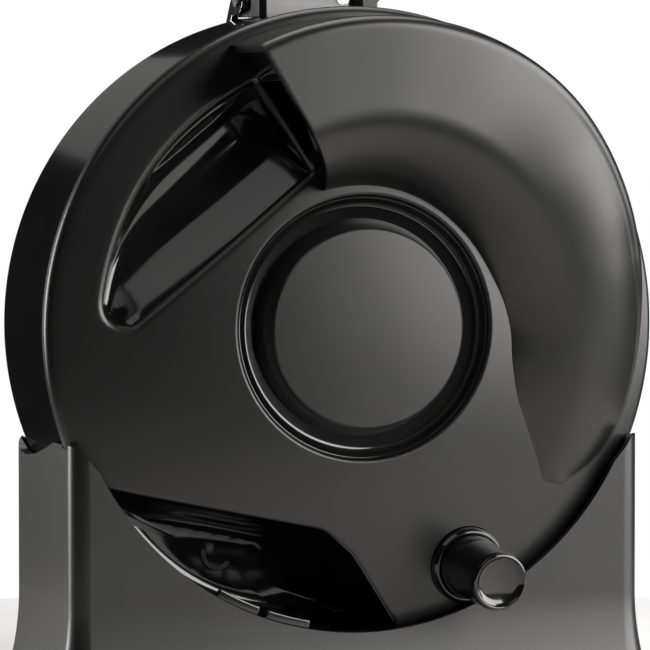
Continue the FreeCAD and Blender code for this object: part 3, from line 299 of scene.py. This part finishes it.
def curve(*pairs):
    """A smooth function through (x, y) pairs."""
    xs = np.array([p[0] for p in pairs], float)
    ys = np.array([p[1] for p in pairs], float)
    slopes = np.gradient(ys, xs)

    def value(x):
        x = np.clip(np.asarray(x, float), xs[0], xs[-1])
        k = np.clip(np.searchsorted(xs, x) - 1, 0, len(xs) - 2)
        span = xs[k + 1] - xs[k]
        t = (x - xs[k]) / span
        return ((2 * t ** 3 - 3 * t ** 2 + 1) * ys[k] + (t ** 3 - 2 * t ** 2 + t) * span * slopes[k]
                + (3 * t ** 2 - 2 * t ** 3) * ys[k + 1] + (t ** 3 - t ** 2) * span * slopes[k + 1])
    return value


def dome(radius):
    """Height of the cover above its rim plane, with the rolled edge."""
    radius = np.asarray(radius, float)
    edge = 2.0
    over = np.clip(radius - (COVER_R - edge), 0, edge)
    return 11.7 - radius ** 2 / 720 - (edge - np.sqrt(edge ** 2 - over ** 2))


def inside(points, loop):
    """Which points lie inside a closed outline."""
    result = np.zeros(len(points), bool)
    x, y = points[:, 0], points[:, 1]
    for (x1, y1), (x2, y2) in zip(loop, np.roll(loop, -1, 0)):
        if y1 == y2:
            continue
        result ^= ((y1 > y) != (y2 > y)) & (x < (x2 - x1) * (y - y1) / (y2 - y1) + x1)
    return result


def distance(points, path):
    """How far each point is from an open path."""
    best = np.full(len(points), 1e9)
    for start, end in zip(path[:-1], path[1:]):
        along = end - start
        share = np.clip(((points - start) @ along) / max(along @ along, 1e-12), 0, 1)
        gap = points - start - share[:, None] * along
        best = np.minimum(best, np.hypot(gap[:, 0], gap[:, 1]))
    return best


def closed(loop):
    return np.vstack([loop, loop[:1]])


def resampled(loop, step):
    """A closed outline as evenly spaced points that keep its corners."""
    result = []
    for start, end in zip(loop, np.roll(loop, -1, 0)):
        count = max(1, int(round(np.hypot(*(end - start)) / step)))
        result += [start + (end - start) * k / count for k in range(count)]
    return np.array(result)


def arc(start, end, bulge, count=24):
    """Points from start to end on a curve that bulges to the right of the way it goes."""
    start, end = np.array(start, float), np.array(end, float)
    way = end - start
    side = np.array([way[1], -way[0]]) / np.hypot(*way)
    share = np.linspace(0, 1, count, endpoint=False)[:, None]
    return start + way * share + side * bulge * 4 * share * (1 - share)


def triangles(points, loops, wanted):
    """Triangle faces over points, with every outline kept as edges, where wanted says so."""
    coords = [Vector(p) for p in points]
    edges = []
    for loop in loops:
        first = len(coords)
        coords += [Vector(p) for p in loop]
        edges += [(first + i, first + (i + 1) % len(loop)) for i in range(len(loop))]
    flat, _, faces, *_ = delaunay_2d_cdt(coords, edges, [], 0, 1e-5)
    flat = np.array([tuple(p) for p in flat])
    corners = np.array([f[:3] for f in faces])
    keep = wanted(flat[corners].mean(1))
    used = np.unique(corners[keep])
    index = np.zeros(len(flat), int)
    index[used] = np.arange(len(used))
    return flat[used], [tuple(int(v) for v in index[f]) for f in corners[keep]]


def thicken(obj, amount):
    modify(obj, "SOLIDIFY", thickness=amount * MM, offset=-1, use_quality_normals=True)
    bpy.context.view_layer.update()
    applied(obj)


# ---------------------------------------------------------------- rear cover

COVER_R = 85
RECESS_R = 35
# the volute's mouth is flat and upright: a point of it and its direction, seen from behind
MOUTH = np.array([-11.6, 36.5])
MOUTH_WAY = np.array([-0.522, 0.852])
MOUTH_IN = np.array([0.852, 0.522])
LOW_CORNER = np.array([-14.6, 41.4])
HIGH_CORNER = np.array([-28.8, 64.6])

trough_path = np.vstack([
    arc(HIGH_CORNER, (-69.6, 9), 8.8, 40), arc((-69.6, 9), (-62.4, 1.5), 3.3, 12),
    arc((-62.4, 1.5), LOW_CORNER, 0, 30), [LOW_CORNER]])
TROUGH = np.vstack([trough_path, [LOW_CORNER + 14 * MOUTH_IN, HIGH_CORNER + 14 * MOUTH_IN]])
WELL_R = 84.4
well_rim = [(WELL_R * math.cos(a), WELL_R * math.sin(a)) for a in np.radians(np.linspace(-93.4, -147, 40))]
WELL = np.array(softened([
    (-71, -41.2, 2), (-10.4, -53.5, 9), (-2.4, -60.2, 9), (12.4, -81.5, 2), *well_rim], 12))
BUTTON_AT = np.array([30.5, -64])
BUTTON_HOLE = 10.4
button_turns = np.linspace(0, 2 * math.pi, 64, False)
button_ring = BUTTON_AT + BUTTON_HOLE * np.array([[math.cos(a), math.sin(a)] for a in button_turns])

# the volute's foot, edge and crest against the angle about the drum's axis
r_inner = curve((-38.8, 67), (-38.4, 63.9), (-35.3, 56.2), (-28.2, 49), (-15.4, 43), (-1.3, 40.8),
                (8.7, 39.5), (20.3, 38), (37.4, 37.3), (58, 37.2), (73.6, 37.4), (94, 37.6), (120, 38.2))
r_outer = curve((-38.8, 67), (-37.6, 70.4), (-34.2, 73.6), (-27.4, 77.5), (-19.3, 79.6), (-9, 80.4),
                (0, 80.9), (10, 81.5), (30, 82), (60, 82.2), (120, 82.2))
edge_height = curve((-38.8, 5.4), (-34.2, 4.2), (-27.4, 3.5), (-19.3, 3.1), (-9, 3.2), (0, 3.8),
                    (4, 4.4), (10, 6), (16, 8), (22, 10.6), (28.8, 13.4), (38.6, 18), (46, 21.8),
                    (52.6, 24.4), (57.8, 25.8), (65, 27.2), (80, 28.8), (100, 29.6), (120, 30))
plateau = curve((-38.8, 5.6), (-35.3, 6.6), (-30, 8), (-20, 10.4), (0, 14), (20, 18.4), (40, 23.4),
                (60, 27.2), (80, 28.8), (100, 29.4), (120, 29.8))


def mouth_angle(radius):
    along = MOUTH @ MOUTH_WAY
    reach = -along + np.sqrt(along ** 2 - MOUTH @ MOUTH + radius ** 2)
    return np.degrees(np.arctan2(MOUTH[1] + reach * MOUTH_WAY[1], MOUTH[0] + reach * MOUTH_WAY[0]))


TIP_ANGLE = -38.8
ACROSS = (34, 22, 10, 5)       # points on the volute's inner slope, its top, the rolled edge and the wall
ALONG = 190


def volute_angle(radius, share):
    start = mouth_angle(radius)
    return start + (TIP_ANGLE - start) * share


def volute_line(share):
    """Points across the volute from its inner foot to its outer foot."""
    inner, outer = 38.0, 80.0
    for _ in range(6):
        inner = float(r_inner(volute_angle(inner, share)))
        outer = float(r_outer(volute_angle(outer, share)))
    outer = max(outer, inner + 0.02)
    middle = inner + (outer - inner) * 0.48
    angle = volute_angle(outer, share)
    edge = float(edge_height(angle))
    foot = float(dome(outer)) - 0.4
    rolled = max(0.01, min(3.2, 0.7 * (edge - foot), 0.3 * (outer - inner)))
    slope, top, roll, wall = ACROSS
    radii = np.concatenate([np.linspace(inner, middle, slope, False),
                            np.linspace(middle, outer - rolled, top)])
    angles = volute_angle(radii, share)
    back = np.clip((outer - radii) / (outer - middle), 0, 1)
    crest = edge + (plateau(angles) - edge) * back * (2 - back)
    ramp = np.clip((radii - inner) / (middle - inner), 0, 1)
    rise = (1 - (1 - ramp) ** 2.3) ** 0.77
    base = dome(radii) - 0.4
    heights = base + (crest - base) * rise
    points = [(r, volute_angle(r, share), h) for r, h in zip(radii, heights)]
    last = heights[-1]
    for k in range(1, roll + 1):
        turn = math.pi / 2 * k / roll
        radius = outer - rolled + rolled * math.sin(turn)
        points.append((radius, volute_angle(radius, share), last - rolled * (1 - math.cos(turn))))
    low = points[-1][2]
    points += [(outer, angle, low + (min(foot, low) - low) * k / wall) for k in range(1, wall + 1)]
    return points


def make_volute():
    """The snail over the sharpener, from its mouth to its tip."""
    shares = np.linspace(0, 1, ALONG)
    shares = np.where(shares > 0.8, 0.8 + 0.2 * np.sin((shares - 0.8) / 0.2 * math.pi / 2), shares)
    points, faces = [], []
    for share in shares:
        for radius, angle, height in volute_line(min(share, 0.9995)):
            turn = math.radians(angle)
            points.append((radius * math.cos(turn), radius * math.sin(turn), height))
    width = len(points) // ALONG
    for i in range(ALONG - 1):
        for j in range(width - 1):
            a = i * width + j
            faces.append((a, a + 1, a + width + 1, a + width))
    obj = raw("rear_cover_volute", points, faces, COVER)
    face_rear(obj)
    thicken(obj, 2.2)
    soft_edges(obj, 0.55, angle=60, segments=3)
    return obj


def under_volute():
    """Where the cover is open beneath the volute, behind the mouth."""
    angles = np.linspace(0.0, 0.26, 30)
    low, high = [], []
    for share in angles:
        for radius, path in ((41.5, low), (78.6, high)):
            turn = math.radians(float(volute_angle(radius, share)))
            path.append((radius * math.cos(turn), radius * math.sin(turn)))
    start = MOUTH_IN * 1.2
    low[0] = tuple(np.array(low[0]) + start)
    high[0] = tuple(np.array(high[0]) + start)
    return np.array(high + low[::-1])


TROUGH_ROLL = 2.4      # how far the cover rolls over into the trough
WELL_ROLL = 0.8
RECESS_ROLL = 0.9


def make_cover():
    """The domed skin with its holes, from points on rings and along each hole's edge."""
    opening = under_volute()
    trough = resampled(trough_path, 0.9)
    well = resampled(WELL, 0.9)
    hollow = resampled(opening, 1.2)
    turns = np.linspace(0, 2 * math.pi, 420, False)
    recess = RECESS_R * np.column_stack([np.cos(turns[::2]), np.sin(turns[::2])])
    rim = COVER_R * np.column_stack([np.cos(turns), np.sin(turns)])
    groups = []
    rings = list(np.linspace(RECESS_R + 0.25, RECESS_R + 1.2, 4)) + list(np.arange(37.5, 82.5, 1.25))
    rings += [83.2, 83.7, 84.1, 84.4, 84.65, 84.85, 84.95]
    for radius in rings:
        count = 210 if radius < 45 else 420
        ring = np.linspace(0, 2 * math.pi, count, False)
        groups.append(radius * np.column_stack([np.cos(ring), np.sin(ring)]))
    grid = np.vstack(groups)
    cuts = [trough, well, button_ring, hollow]
    near = np.min([distance(grid, closed(c)) for c in cuts], axis=0)
    grid = grid[near > 0.25]
    near = near[near > 0.25]
    close = []
    for loop in cuts[:2]:
        ahead = np.roll(loop, -1, 0) - np.roll(loop, 1, 0)
        side = np.column_stack([ahead[:, 1], -ahead[:, 0]]) / np.hypot(ahead[:, 0], ahead[:, 1])[:, None]
        for reach in (0.2, 0.5, 0.9, 1.4, 1.9, 2.4):
            for sign in (-1, 1):
                ring = loop + sign * side * reach
                away = distance(ring, closed(loop))
                close.append(ring[away > reach * 0.93])
    close = np.vstack(close)
    grid = np.vstack([grid[near > 2.9], close])

    def wanted(centres):
        keep = np.hypot(centres[:, 0], centres[:, 1]) > RECESS_R - 0.01
        for loop in cuts:
            keep &= ~inside(centres, loop)
        return keep

    flat, faces = triangles(grid, [recess, rim] + cuts, wanted)
    radius = np.hypot(flat[:, 0], flat[:, 1])
    height = dome(np.minimum(radius, COVER_R))
    for loop, soft in ((trough, TROUGH_ROLL), (well, WELL_ROLL)):
        away = np.clip(soft - distance(flat, closed(loop)), 0, soft)
        height = height - (soft - np.sqrt(soft ** 2 - away ** 2))
    away = np.clip(RECESS_R + RECESS_ROLL - radius, 0, RECESS_ROLL)
    height = height - (RECESS_ROLL - np.sqrt(RECESS_ROLL ** 2 - away ** 2))
    points = [(x, y, z) for (x, y), z in zip(flat, height)]
    order = sorted((i for i in range(len(flat)) if radius[i] > COVER_R - 0.01),
                   key=lambda i: math.atan2(flat[i][1], flat[i][0]))
    previous = order
    for drop, pull in ((-1.2, 0), (-2.2, 0), (-2.4, 0.2), (-2.4, 2.0)):
        start = len(points)
        scale = (COVER_R - pull) / COVER_R
        points += [(flat[i][0] * scale, flat[i][1] * scale, drop) for i in order]
        ring = list(range(start, start + len(order)))
        for k in range(len(order)):
            n = (k + 1) % len(order)
            faces.append((previous[k], previous[n], ring[n], ring[k]))
        previous = ring
    obj = raw("rear_cover_shell", points, faces, COVER)
    face_rear(obj)
    thicken(obj, 1.9)
    return obj


def joined(first, *others):
    """Several meshes as one piece."""
    bpy.ops.object.select_all(action="DESELECT")
    for obj in (first, *others):
        obj.select_set(True)
    bpy.context.view_layer.objects.active = first
    bpy.ops.object.join()
    return first


done(joined(make_cover(), make_volute()), "housing", "satin_black", "rear_cover", sharp=38)


def basin(name, outline, middle, sink, wall, lip=0.35):
    """A tray let into the cover, lofted from its outline down to a floor round its middle."""
    loop = resampled(outline, 0.7)
    middle = np.array(middle, float)
    steps = 26
    points, faces = [], []
    for k in range(steps + 1):
        share = 1 - (k / steps) ** 1.9
        ring = middle + (loop - middle) * share
        height = dome(np.hypot(ring[:, 0], ring[:, 1])) - lip - sink(ring, share)
        points += [(x, y, z) for (x, y), z in zip(ring, height)]
    count = len(loop)
    for k in range(steps):
        for n in range(count):
            m = (n + 1) % count
            faces.append((k * count + n, k * count + m, (k + 1) * count + m, (k + 1) * count + n))
    obj = raw(name, points, faces, COVER)
    face_rear(obj)
    thicken(obj, wall)
    return obj


TRAY_WALL = 1.5
CHANNEL_DEEP = 8
CHANNEL_AXIS = 14      # from the straight side to the channel's lowest line
WELL_DEEP = 30
CHANNEL_AT = np.array([-62.4, 1.5])
CHANNEL_ACROSS = np.array([-0.6408, 0.7677])


def channel(points, share):
    """The blade's channel: round along its straight side, with a steep wall along its curved one."""
    across = (points - CHANNEL_AT) @ CHANNEL_ACROSS
    hollow = 1 - ((np.clip(across, 0, 26) - CHANNEL_AXIS) / CHANNEL_AXIS) ** 2
    wall = np.clip(distance(points, trough_path[:53]) / 5, 0, 1)
    return CHANNEL_DEEP * np.clip(hollow, 0, 1) * (1 - (1 - wall) ** 2.4) ** 0.5


def cup(points, share):
    """The well's walls fall steeply and meet its floor in a round."""
    return WELL_DEEP * (1 - share ** 5) ** 0.53


tray = basin("sharpener_trough_tray", TROUGH, (-40, 34), channel, TRAY_WALL, TROUGH_ROLL - 0.2)
done(tray, "housing", "gloss_black", "sharpener_trough", sharp=60)
well_cup = basin("cord_well_cup", WELL, (-30, -64), cup, TRAY_WALL)
done(well_cup, "housing", "gloss_black", "cord_well", sharp=60)

# ---------------------------------------------------------------- the mouth's frame

MOUTH_BACK = 1.0


def mouth_frame():
    """A plate across the volute just behind its mouth, with the half-moon slot that the blade enters."""
    outline = []
    for radius, angle, height in volute_line(0.012):
        turn = math.radians(angle)
        spot = np.array([radius * math.cos(turn), radius * math.sin(turn)])
        outline.append(((spot - MOUTH) @ MOUTH_WAY, height))
    outline = np.array(outline)
    shrink = 1.6           # the plate stays this far inside the volute's skin
    centre = np.array([25, 14])
    top = [tuple(p + (centre - p) / np.hypot(*(centre - p)) * shrink) for p in outline[2::2]]
    loop = top + [(outline[-1][0] - shrink, -2), (outline[0][0] + shrink + 3, -2)]
    slot = softened([
        (10.6, 18.1, 1), (11.5, 13.4, 6), (13.9, 8, 8), (16.9, 4.4, 8), (20.9, 2.2, 8), (27.1, 1.4, 8),
        (32.4, 1.2, 0.6), (32.9, 24, 2.4), (28, 26, 4), (21.1, 23.6, 20)], 8)
    place = np.eye(4)
    normal = np.array([MOUTH_IN[0], MOUTH_IN[1], 0])
    place[:3, 0] = (MOUTH_WAY[0], MOUTH_WAY[1], 0)
    place[:3, 1] = (0, 0, 1)
    place[:3, 2] = normal
    place[:3, 3] = (*(MOUTH + MOUTH_IN * MOUTH_BACK), 0)
    place = COVER @ Matrix(place.tolist())
    plate = prism("mouth_bezel_plate", loop, 0, 2, place)
    carve(plate, prism("slot", slot, -2, 4, place))
    soft_edges(plate, 0.5, angle=50)
    done(plate, "housing", "gloss_black", "mouth_bezel")


mouth_frame()

# ---------------------------------------------------------------- recess, cap and button

lip = float(dome(RECESS_R)) - 1.2
done(lathe("recess_ring_cup", softened([
    (14, 5), (RECESS_R - 1.6, 5, 2.4), (RECESS_R - 0.7, lip, 0.3), (RECESS_R - 0.15, lip),
    (RECESS_R - 0.15, 2.6, 0.4), (14, 2.6)])), "housing", "gloss_black", "recess_ring")
CAP_TOP = 13.9
CAP_FACE = 26.0
CAP_SAG = 720          # twice the radius of the sphere that the cap's face is part of
face = [(CAP_FACE * k / 12, CAP_TOP - (CAP_FACE * k / 12) ** 2 / CAP_SAG) for k in range(13)]
edge_drop = CAP_TOP - CAP_FACE ** 2 / CAP_SAG
done(lathe("centre_cap_disc", softened([
    *face, (CAP_FACE + 0.45, edge_drop - 0.4, 0.3), (27.7, 9.2, 6), (28.8, 5.1), (25.2, 5.1),
    (25.2, CAP_TOP - 4.4), (0, CAP_TOP - 3)])), "housing", "cap_grey", "centre_cap")

button_height = float(dome(np.hypot(*BUTTON_AT)))
TILT = Matrix.Rotation(math.radians(8), 4, Vector((64, 30.5, 0)).normalized())
BUTTON = COVER @ Matrix.Translation((*BUTTON_AT, button_height)) @ TILT
barrel = lathe("sharpener_button_barrel", softened([
    (0, -16.6), (3, -16.6, 0.3), (3, -4.2, 0.2), (8.6, -4.2, 0.5), (8.6, 4.2, 1.5), (8.35, 6.5, 2),
    (8.0, 7.4, 1), (7.9, 21.2, 0.8), (7.5, 22.6, 0.6), (6.9, 22.9, 0.35), (6.5, 22.4, 0.4),
    (5.6, 21.7, 3), (0, 20.9)]), BUTTON, 96)
done(barrel, "button", "gloss_black", "sharpener_button")
collar = lathe("button_collar_ring", softened([
    (3.08, -8.9), (10.08, -8.9, 0.4), (10.08, 0.2), (10.3, 0.3, 0.2), (10.2, 1.8, 0.9), (9.4, 2.9, 0.5),
    (8.75, 2.7, 0.3), (8.7, -7.4), (3.08, -7.4)]), BUTTON, 96)
done(collar, "housing", "gloss_black", "button_collar")

# ---------------------------------------------------------------- drum

SEAT = 82.2
drum = lathe("front_housing_drum", softened([
    (81.6, -0.9), (81.6, -2.6), (83.9, -2.6, 0.3), (83.9, -DEPTH, 4), (0, -DEPTH), (0, -DEPTH + 2.5),
    (81.4, -DEPTH + 2.5, 2), (81.4, -0.9)], 10), COVER, 320)


def box(name, low, high):
    return prism(name, [(low[0], low[1]), (high[0], low[1]), (high[0], high[1]), (low[0], high[1])],
                 low[2], high[2])


def rod(name, radius, low, high, x, z, segments=48):
    """A closed cylinder along y between two depths."""
    turns = [2 * math.pi * k / segments for k in range(segments)]
    circle = [(radius * math.cos(turn), radius * math.sin(turn)) for turn in turns]
    place = Matrix.Translation((x, 0, z)) @ Matrix.Rotation(math.pi / 2, 4, "X")
    return prism(name, circle, -high, -low, place)


BOSS_REACH = 74.4
boss_points = [(BOSS_REACH * math.cos(a), AXIS + BOSS_REACH * math.sin(a))
               for a in np.radians((45, 195, 313))]
carve(drum, box("seat", (-17.5, RIM + 34, AXIS + SEAT), (21.5, FRONT + 3, AXIS + 95)),
      rod("bush_hole", 5.55, FRONT - 9, FRONT + 3, 0, AXIS + 52),
      *[rod("sink", 3.15, FRONT - 2, FRONT + 3, x, z, 32) for x, z in boss_points])
seat_plate = box("seat_plate", (-17.5, RIM + 34, AXIS + SEAT - 2.5), (21.5, FRONT - 2.4, AXIS + SEAT))
flattened(drum)
soft_edges(drum, 0.35, angle=50, segments=2)
drum = joined(drum, seat_plate)
modify(drum, "WEIGHTED_NORMAL", keep_sharp=True, weight=100)
done(drum, "housing", "gloss_black", "front_housing", sharp=35)

# ---------------------------------------------------------------- cradle

HALF = 79.5
HALF_DEPTH = 29.25
CRADLE_TOP = 73
FLARE_TOP = 31
FOOT = 1.2
WINDOW_R = 81


def ring(z, inset):
    """A rounded rectangle round the cradle at a height."""
    flare = 5.7 * max(0.0, (FLARE_TOP - z) / (FLARE_TOP - FOOT)) ** 2
    across, deep = HALF + flare - inset, HALF_DEPTH + flare - inset
    radius = max(5 + flare - inset, 1.0)
    points = []
    for sx, sy, start in ((1, 1, 0), (-1, 1, 90), (-1, -1, 180), (1, -1, 270)):
        for k in range(13):
            turn = math.radians(start + 90 * k / 12)
            points.append((sx * (across - radius) + radius * math.cos(turn),
                           sy * (deep - radius) + radius * math.sin(turn), z))
    return points


def make_cradle():
    """The sleeve that the drum stands in, open where the cover shows and notched at its sides."""
    levels = list(np.linspace(FOOT, FLARE_TOP, 14)) + [CRADLE_TOP]
    rings = [ring(z, 0) for z in levels] + [ring(z, 2.5) for z in levels[::-1]]
    count = len(rings[0])
    points = [p for r in rings for p in r]
    faces = []
    for i in range(len(rings)):
        j = (i + 1) % len(rings)
        for k in range(count):
            n = (k + 1) % count
            faces.append((i * count + k, i * count + n, j * count + n, j * count + k))
    obj = raw("cradle_base_shell", points, faces)
    start = RIM + 10.5
    notch = softened([
        (start - 1, CRADLE_TOP + 5), (start, CRADLE_TOP + 0.3, 1.5), (start + 8, CRADLE_TOP - 1.8, 20),
        (start + 19, CRADLE_TOP - 4.1, 20), (start + 29, CRADLE_TOP - 5.1, 20),
        (start + 35, CRADLE_TOP - 4.2, 8), (start + 40.5, CRADLE_TOP + 0.4, 2),
        (start + 41, CRADLE_TOP + 5)], 8)
    side_view = Matrix(((0, 0, 1, 0), (1, 0, 0, 0), (0, 1, 0, 0), (0, 0, 0, 1)))
    turns = np.linspace(math.pi + 0.34, 2 * math.pi - 0.34, 160)
    bowl = [(WINDOW_R * math.cos(a), AXIS + WINDOW_R * math.sin(a)) for a in turns]
    shoulder = [(-79.2, CRADLE_TOP + 6), (-79.2, CRADLE_TOP + 0.02), (-77.2, CRADLE_TOP - 0.6, 2),
                (-75.2, CRADLE_TOP - 3.4, 3)]
    mirrored = [(-x, *rest) for x, *rest in shoulder[::-1]]
    window = shoulder + [p for p in bowl if p[1] < CRADLE_TOP - 6.5] + mirrored
    seen_behind = Matrix.Rotation(math.pi / 2, 4, "X")
    carve(obj, prism("window", softened(window), -40, 40, seen_behind),
          prism("notch", notch, -90, 90, side_view),
          lathe("bed", [(0, 1), (84.2, 1), (84.2, -DEPTH - 1), (0, -DEPTH - 1)], COVER, 256),
          lathe("rim_bed", [(0, 2.5), (85.3, 2.5), (85.3, -2.8), (0, -2.8)], COVER, 256))
    soft_edges(obj, 0.55, angle=42, segments=3)
    modify(obj, "WEIGHTED_NORMAL", keep_sharp=True, weight=100)
    return obj


done(make_cradle(), "housing", "cradle_grey", "cradle_base", sharp=35)

# ---------------------------------------------------------------- moulded and pressed pieces of the head


def eased(name, body, width, angle=40):
    """A CAD piece as a mesh of its own with its edges rounded over."""
    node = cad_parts[name]
    slot = node.data.materials[0].name.split(".")[0]
    mesh = node.data.copy()
    mesh.transform(node.matrix_world)
    obj = bpy.data.objects.new(name + "_moulded", mesh)
    bpy.context.scene.collection.objects.link(obj)
    solid = bmesh.new()
    solid.from_mesh(mesh)
    bmesh.ops.remove_doubles(solid, verts=solid.verts, dist=0.001 * MM)
    solid.to_mesh(mesh)
    solid.free()
    if width:
        flattened(obj)
        soft_edges(obj, width, angle, 3)
        modify(obj, "WEIGHTED_NORMAL", keep_sharp=True, weight=100)
    return done(obj, body, slot, name)


for name, body, width in (
        ("lever_grip", "lever", 1.8), ("lever_arm", "lever", 0.4), ("pivot_bracket", "housing", 0.6),
        ("magnet_arm", "magnet_swing", 0.35), ("can_rest", "housing", 0.9), ("can_guides", "housing", 0.7),
        ("button_switch", "housing", 0.4), ("lever_switch", "housing", 0.4),
        ("grinding_wheel", "rotor_group", 0.6), ("motor_coil", "housing", 1.5),
        ("cord_clips", "housing", 0.5)):
    eased(name, body, width)

# ---------------------------------------------------------------- carried-over CAD nodes

spring = eased("button_spring", "housing", 0)
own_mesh(spring)

for name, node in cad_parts.items():
    slot_name = node.data.materials[0].name.split(".")[0]
    node.data.materials.clear()
    node.data.materials.append(MATERIALS[slot_name])

# ---------------------------------------------------------------- floor, light and camera


def area(name, at, aim, size, energy, tall=None):
    light = bpy.data.lights.new(name, "AREA")
    light.energy = energy
    light.color = (1, 0.985, 0.972)
    light.shape = "RECTANGLE"
    light.size = size
    light.size_y = tall or size
    lamp = bpy.data.objects.new(name, light)
    lamp.location = at
    lamp.rotation_euler = (Vector(aim) - Vector(at)).to_track_quat("-Z", "Y").to_euler()
    bpy.context.scene.collection.objects.link(lamp)


area("key", (0.83, -0.62, 0.43), (0, 0, 0.12), 1.3, 33, 0.9)
area("top", (0.15, 0.25, 1.1), (0, 0, 0.1), 0.7, 6)
area("sky", (-0.45, -0.35, 0.9), (0, 0, 0.12), 0.6, 1.0)
area("left", (-0.95, 0.85, 0.25), (0, 0, 0.1), 0.5, 11, 0.6)
area("back", (-0.3, 1.2, 0.75), (0, 0, 0.1), 1.0, 0.4, 0.6)

floor_mesh = bpy.data.meshes.new("floor")
FLOOR_R = 0.3
floor_turns = [k * math.pi / 64 for k in range(128)]
floor_ring = [(FLOOR_R * math.cos(turn), FLOOR_R * math.sin(turn), 0) for turn in floor_turns]
floor_mesh.from_pydata(floor_ring, [], [tuple(range(128))])
floor_object = bpy.data.objects.new("floor", floor_mesh)
bpy.context.scene.collection.objects.link(floor_object)
floor_finish = finish_of("floor_finish", grey(0.78), grey(0.82), (0.6, 0.7), grain=2, cloud=80)
floor_mesh.materials.append(floor_finish)

world = bpy.data.worlds.new("studio")
world.use_nodes = True
backdrop = world.node_tree.nodes["Background"]
seen = world.node_tree.nodes.new("ShaderNodeLightPath")
tone = world.node_tree.nodes.new("ShaderNodeMixRGB")
tone.inputs["Color1"].default_value = (0.012, 0.012, 0.012, 1)
tone.inputs["Color2"].default_value = (1, 1, 1, 1)
world.node_tree.links.new(seen.outputs["Is Camera Ray"], tone.inputs["Fac"])
world.node_tree.links.new(tone.outputs["Color"], backdrop.inputs["Color"])
bpy.context.scene.world = world

bpy.context.scene.view_settings.view_transform = "Standard"
camera_data = bpy.data.cameras.new("camera")
camera_data.lens = 276.92
camera_data.sensor_width = 36
camera_data.shift_x = -0.0431
camera_data.shift_y = 0.0018
camera = bpy.data.objects.new("camera", camera_data)
camera.location = (-0.428886, -1.27911, 0.164203)
camera.rotation_euler = (math.radians(90 - 2.6377), 0, math.radians(-18.8345))
bpy.context.scene.collection.objects.link(camera)
bpy.context.scene.camera = camera
